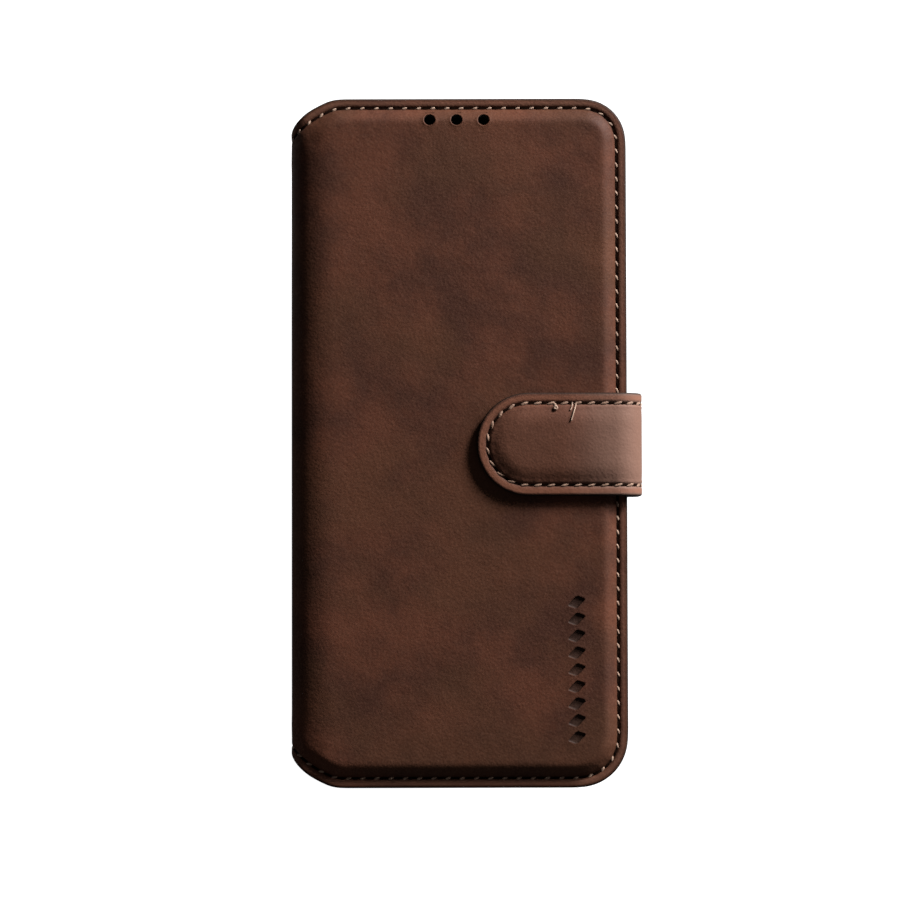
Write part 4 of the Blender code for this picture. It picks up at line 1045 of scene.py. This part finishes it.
def threadTail(name, path, radius):  # a thin thread; each place is x, y and its height above the padded tongue
    curve = bpy.data.curves.new(name, "CURVE")
    curve.dimensions = "3D"
    curve.bevel_depth = radius * mm
    curve.bevel_resolution = 2
    curve.resolution_u = 6
    curve.use_fill_caps = True
    spline = curve.splines.new("NURBS")
    spline.points.add(len(path) - 1)
    for point, (x, y, rise) in zip(spline.points, path):
        inset = strap["half"] + strap["y"] - y
        z = strap["borderTop"] + strapHeight(strap["end"], y, inset, 0.0) + rise
        point.co = (x * mm, y * mm, z * mm, 1.0)
    spline.use_endpoint_u = True
    spline.order_u = 4
    drawn = placed(name, curve)
    mesh = evaluated(drawn)
    bpy.data.objects.remove(drawn)
    mesh.materials.clear()
    mesh.materials.append(thread)
    return placed(name, mesh)


tails = [threadTail("thread_" + name, path, radius) for name, path, radius in (
    ("tail_long", ((26.7, 9.7, -0.3), (26.55, 8.9, 0.2), (26.3, 7.9, 0.25), (25.9, 6.6, 0.3),
                   (25.4, 5.0, 0.22)), 0.19),
    ("tail_short", ((25.7, 9.7, -0.3), (25.75, 9.0, 0.2), (25.6, 8.2, 0.22), (25.2, 7.5, 0.15)), 0.17),
    ("knot", ((21.3, 9.4, -0.3), (21.5, 8.8, 0.2), (22.1, 8.3, 0.3), (21.9, 7.7, 0.35), (21.3, 7.8, 0.3),
              (21.3, 8.5, 0.35), (21.9, 8.5, 0.5), (22.0, 8.0, 0.25)), 0.27))]

print("riding on the bodies")
spineMid = cover["borderTop"] / 2
bends = {  # a place along x for each skin, and the heights where its fold starts and stops; the loop below reads them but bends nothing, it only bakes each piece in place
    "low": (cover["left"], 2.55, spineMid - 2.0),
    "high": (cover["left"], spineMid + 2.0, cover["borderTop"] - 1.55),
    "root": (strap["outer"], 2.6, 5.8),
    "tip": (strap["outer"], 13.6, 18.0),
}
bent = (
    ((frontPanel, frontLining, *frontStitch), ("spine", "front_cover"), "high"),
    ((backPanel, backLining, *backStitch), ("back_half", "spine"), "low"),
    ((rootPanel, *rootStitch), ("back_half", "strap_side"), "root"),
    ((tonguePanel, tipLining, *tipStitch), ("strap_side", "strap_tongue"), "tip"),
)
for pieces, bodies, name in bent:
    x, start, stop = bends[name]
    for piece in pieces:
        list(bodies)
        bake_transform(piece)
riders = (
    ("front_cover", (billLeaf, *pocketLeaves, *cardStitch)),
    ("back_half", (trayShell,)),
    ("power_button", (powerKey,)),
    ("volume_button", (volumeKey,)),
    ("strap_tongue", tails),
    ("back_half", windowStitch),
)
for body, pieces in riders:
    for piece in pieces:
        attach(piece, body)

stands = (
    (frontPanel, "leather", "front_leather", "spine_leather"),
    (backPanel, "leather", "back_leather"),
    (frontLining, "lining", "front_lining", "spine_lining", "spine_stiffener"),
    (backLining, "lining", "back_lining"),
    (tonguePanel, "leather", "strap_tongue_leather", "strap_side_leather"),
    (tipLining, "lining", "strap_tongue_lining", "strap_side_lining"),
    (rootPanel, "leather", "strap_root_tab"),
    (billLeaf, "lining", "bill_pocket_panel"),
    (pocketLeaves[0], "lining", "card_pocket_1"),
    (pocketLeaves[1], "lining", "card_pocket_2"),
    (trayShell, "shell", "phone_shell"),
    (powerKey, "shell", "power_button_pad"),
    (volumeKey, "shell", "volume_button_pad"),
    (frontStitch[0], "thread", "front_thread", "spine_top_thread", "spine_bottom_thread"),
    (backStitch[0], "thread", "back_thread"),
    (tipStitch[0], "thread", "strap_tongue_thread", "strap_side_upper_thread", "strap_side_lower_thread"),
    (rootStitch[0], "thread", "strap_root_thread"),
    (cardStitch[0], "thread", "card_pocket_thread"),
    (windowStitch[0], "thread", "camera_window_thread"),
)
for piece, finish, *covered in stands:
    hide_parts(*covered)

print("hidden layers")
hidden = (
    (board, ("back_board", "front_board")),
    (foam, ("front_foam", "strap_filler")),
    (adhesive, ("shell_adhesive_pad",)),
    (steel, ("strap_magnet", "closure_keeper")),
)
for material, names in hidden:
    for name in names:
        for place in nodes[name].material_slots:
            place.material = material

print("floor, light and camera")
stage = {"half": 3000.0, "z": -20.5, "base": 0.30, "seen": 1.0, "given": 0.04}  # low enough for the folded cover
reach, height = stage["half"] * mm, stage["z"] * mm
floorMesh = bpy.data.meshes.new("floor")
corners = ((-reach, -reach), (reach, -reach), (reach, reach), (-reach, reach))
floorMesh.from_pydata([(x, y, height) for x, y in corners], [], [(0, 1, 2, 3)])
floor = placed("floor", floorMesh)
paper, paperTree, paperShader = newMaterial("paper", 0.9)
setSockets(paperShader, {"Base Color": (stage["base"], stage["base"], stage["base"], 1.0),
                         "Specular IOR Level": 0.0, "Emission Color": (1.0, 1.0, 1.0, 1.0)})
glow = addNode(paperTree, "ShaderNodeMapRange", {"To Min": stage["given"], "To Max": stage["seen"]})  # looks white
paperTree.links.new(addNode(paperTree, "ShaderNodeLightPath").outputs["Is Camera Ray"], glow.inputs["Value"])
paperTree.links.new(glow.outputs["Result"], paperShader.inputs["Emission Strength"])
floorMesh.materials.append(paper)

lights = {  # direction, distance in metres, size and power
    "key": ((0.62, 0.74, 0.33), 1.3, (0.26, 0.26), 41.0),
    "side": ((1.0, 0.62, 0.33), 1.3, (0.34, 0.5), 17.0),
    "fill": ((0.3, -0.5, 0.8), 1.6, (1.2, 1.2), 0.7),
}
for name, (toward, distance, size, power) in lights.items():
    data = bpy.data.lights.new(name, "AREA")
    data.shape = "RECTANGLE"
    data.size, data.size_y = size
    data.energy = power
    light = placed(name, data)
    direction = Vector(toward).normalized()
    light.location = direction * distance
    light.rotation_euler = (-direction).to_track_quat("-Z", "Y").to_euler()
world = bpy.data.worlds.new("room")
bpy.context.scene.world = world
world.use_nodes = True
setSockets(world.node_tree.nodes["Background"], {"Color": (1.0, 1.0, 1.0, 1.0), "Strength": 0.057})
bpy.context.scene.view_settings.view_transform = "Standard"

view = {"distance": 0.70, "tilt": 2.0, "roll": -0.13, "target": (-4.1, -1.95, 16.0), "width": 219.9,
        "sensor": 36.0}
camera = placed("camera", bpy.data.cameras.new("camera"))
tilt = math.radians(view["tilt"])
target = Vector(view["target"]) * mm
camera.location = target + Vector((0, -math.sin(tilt), math.cos(tilt))) * view["distance"]
camera.rotation_euler = (tilt, 0.0, math.radians(view["roll"]))
camera.data.sensor_width = view["sensor"]
camera.data.lens = view["sensor"] * view["distance"] / (view["width"] * mm)
camera.data.dof.use_dof = False
bpy.context.scene.camera = camera
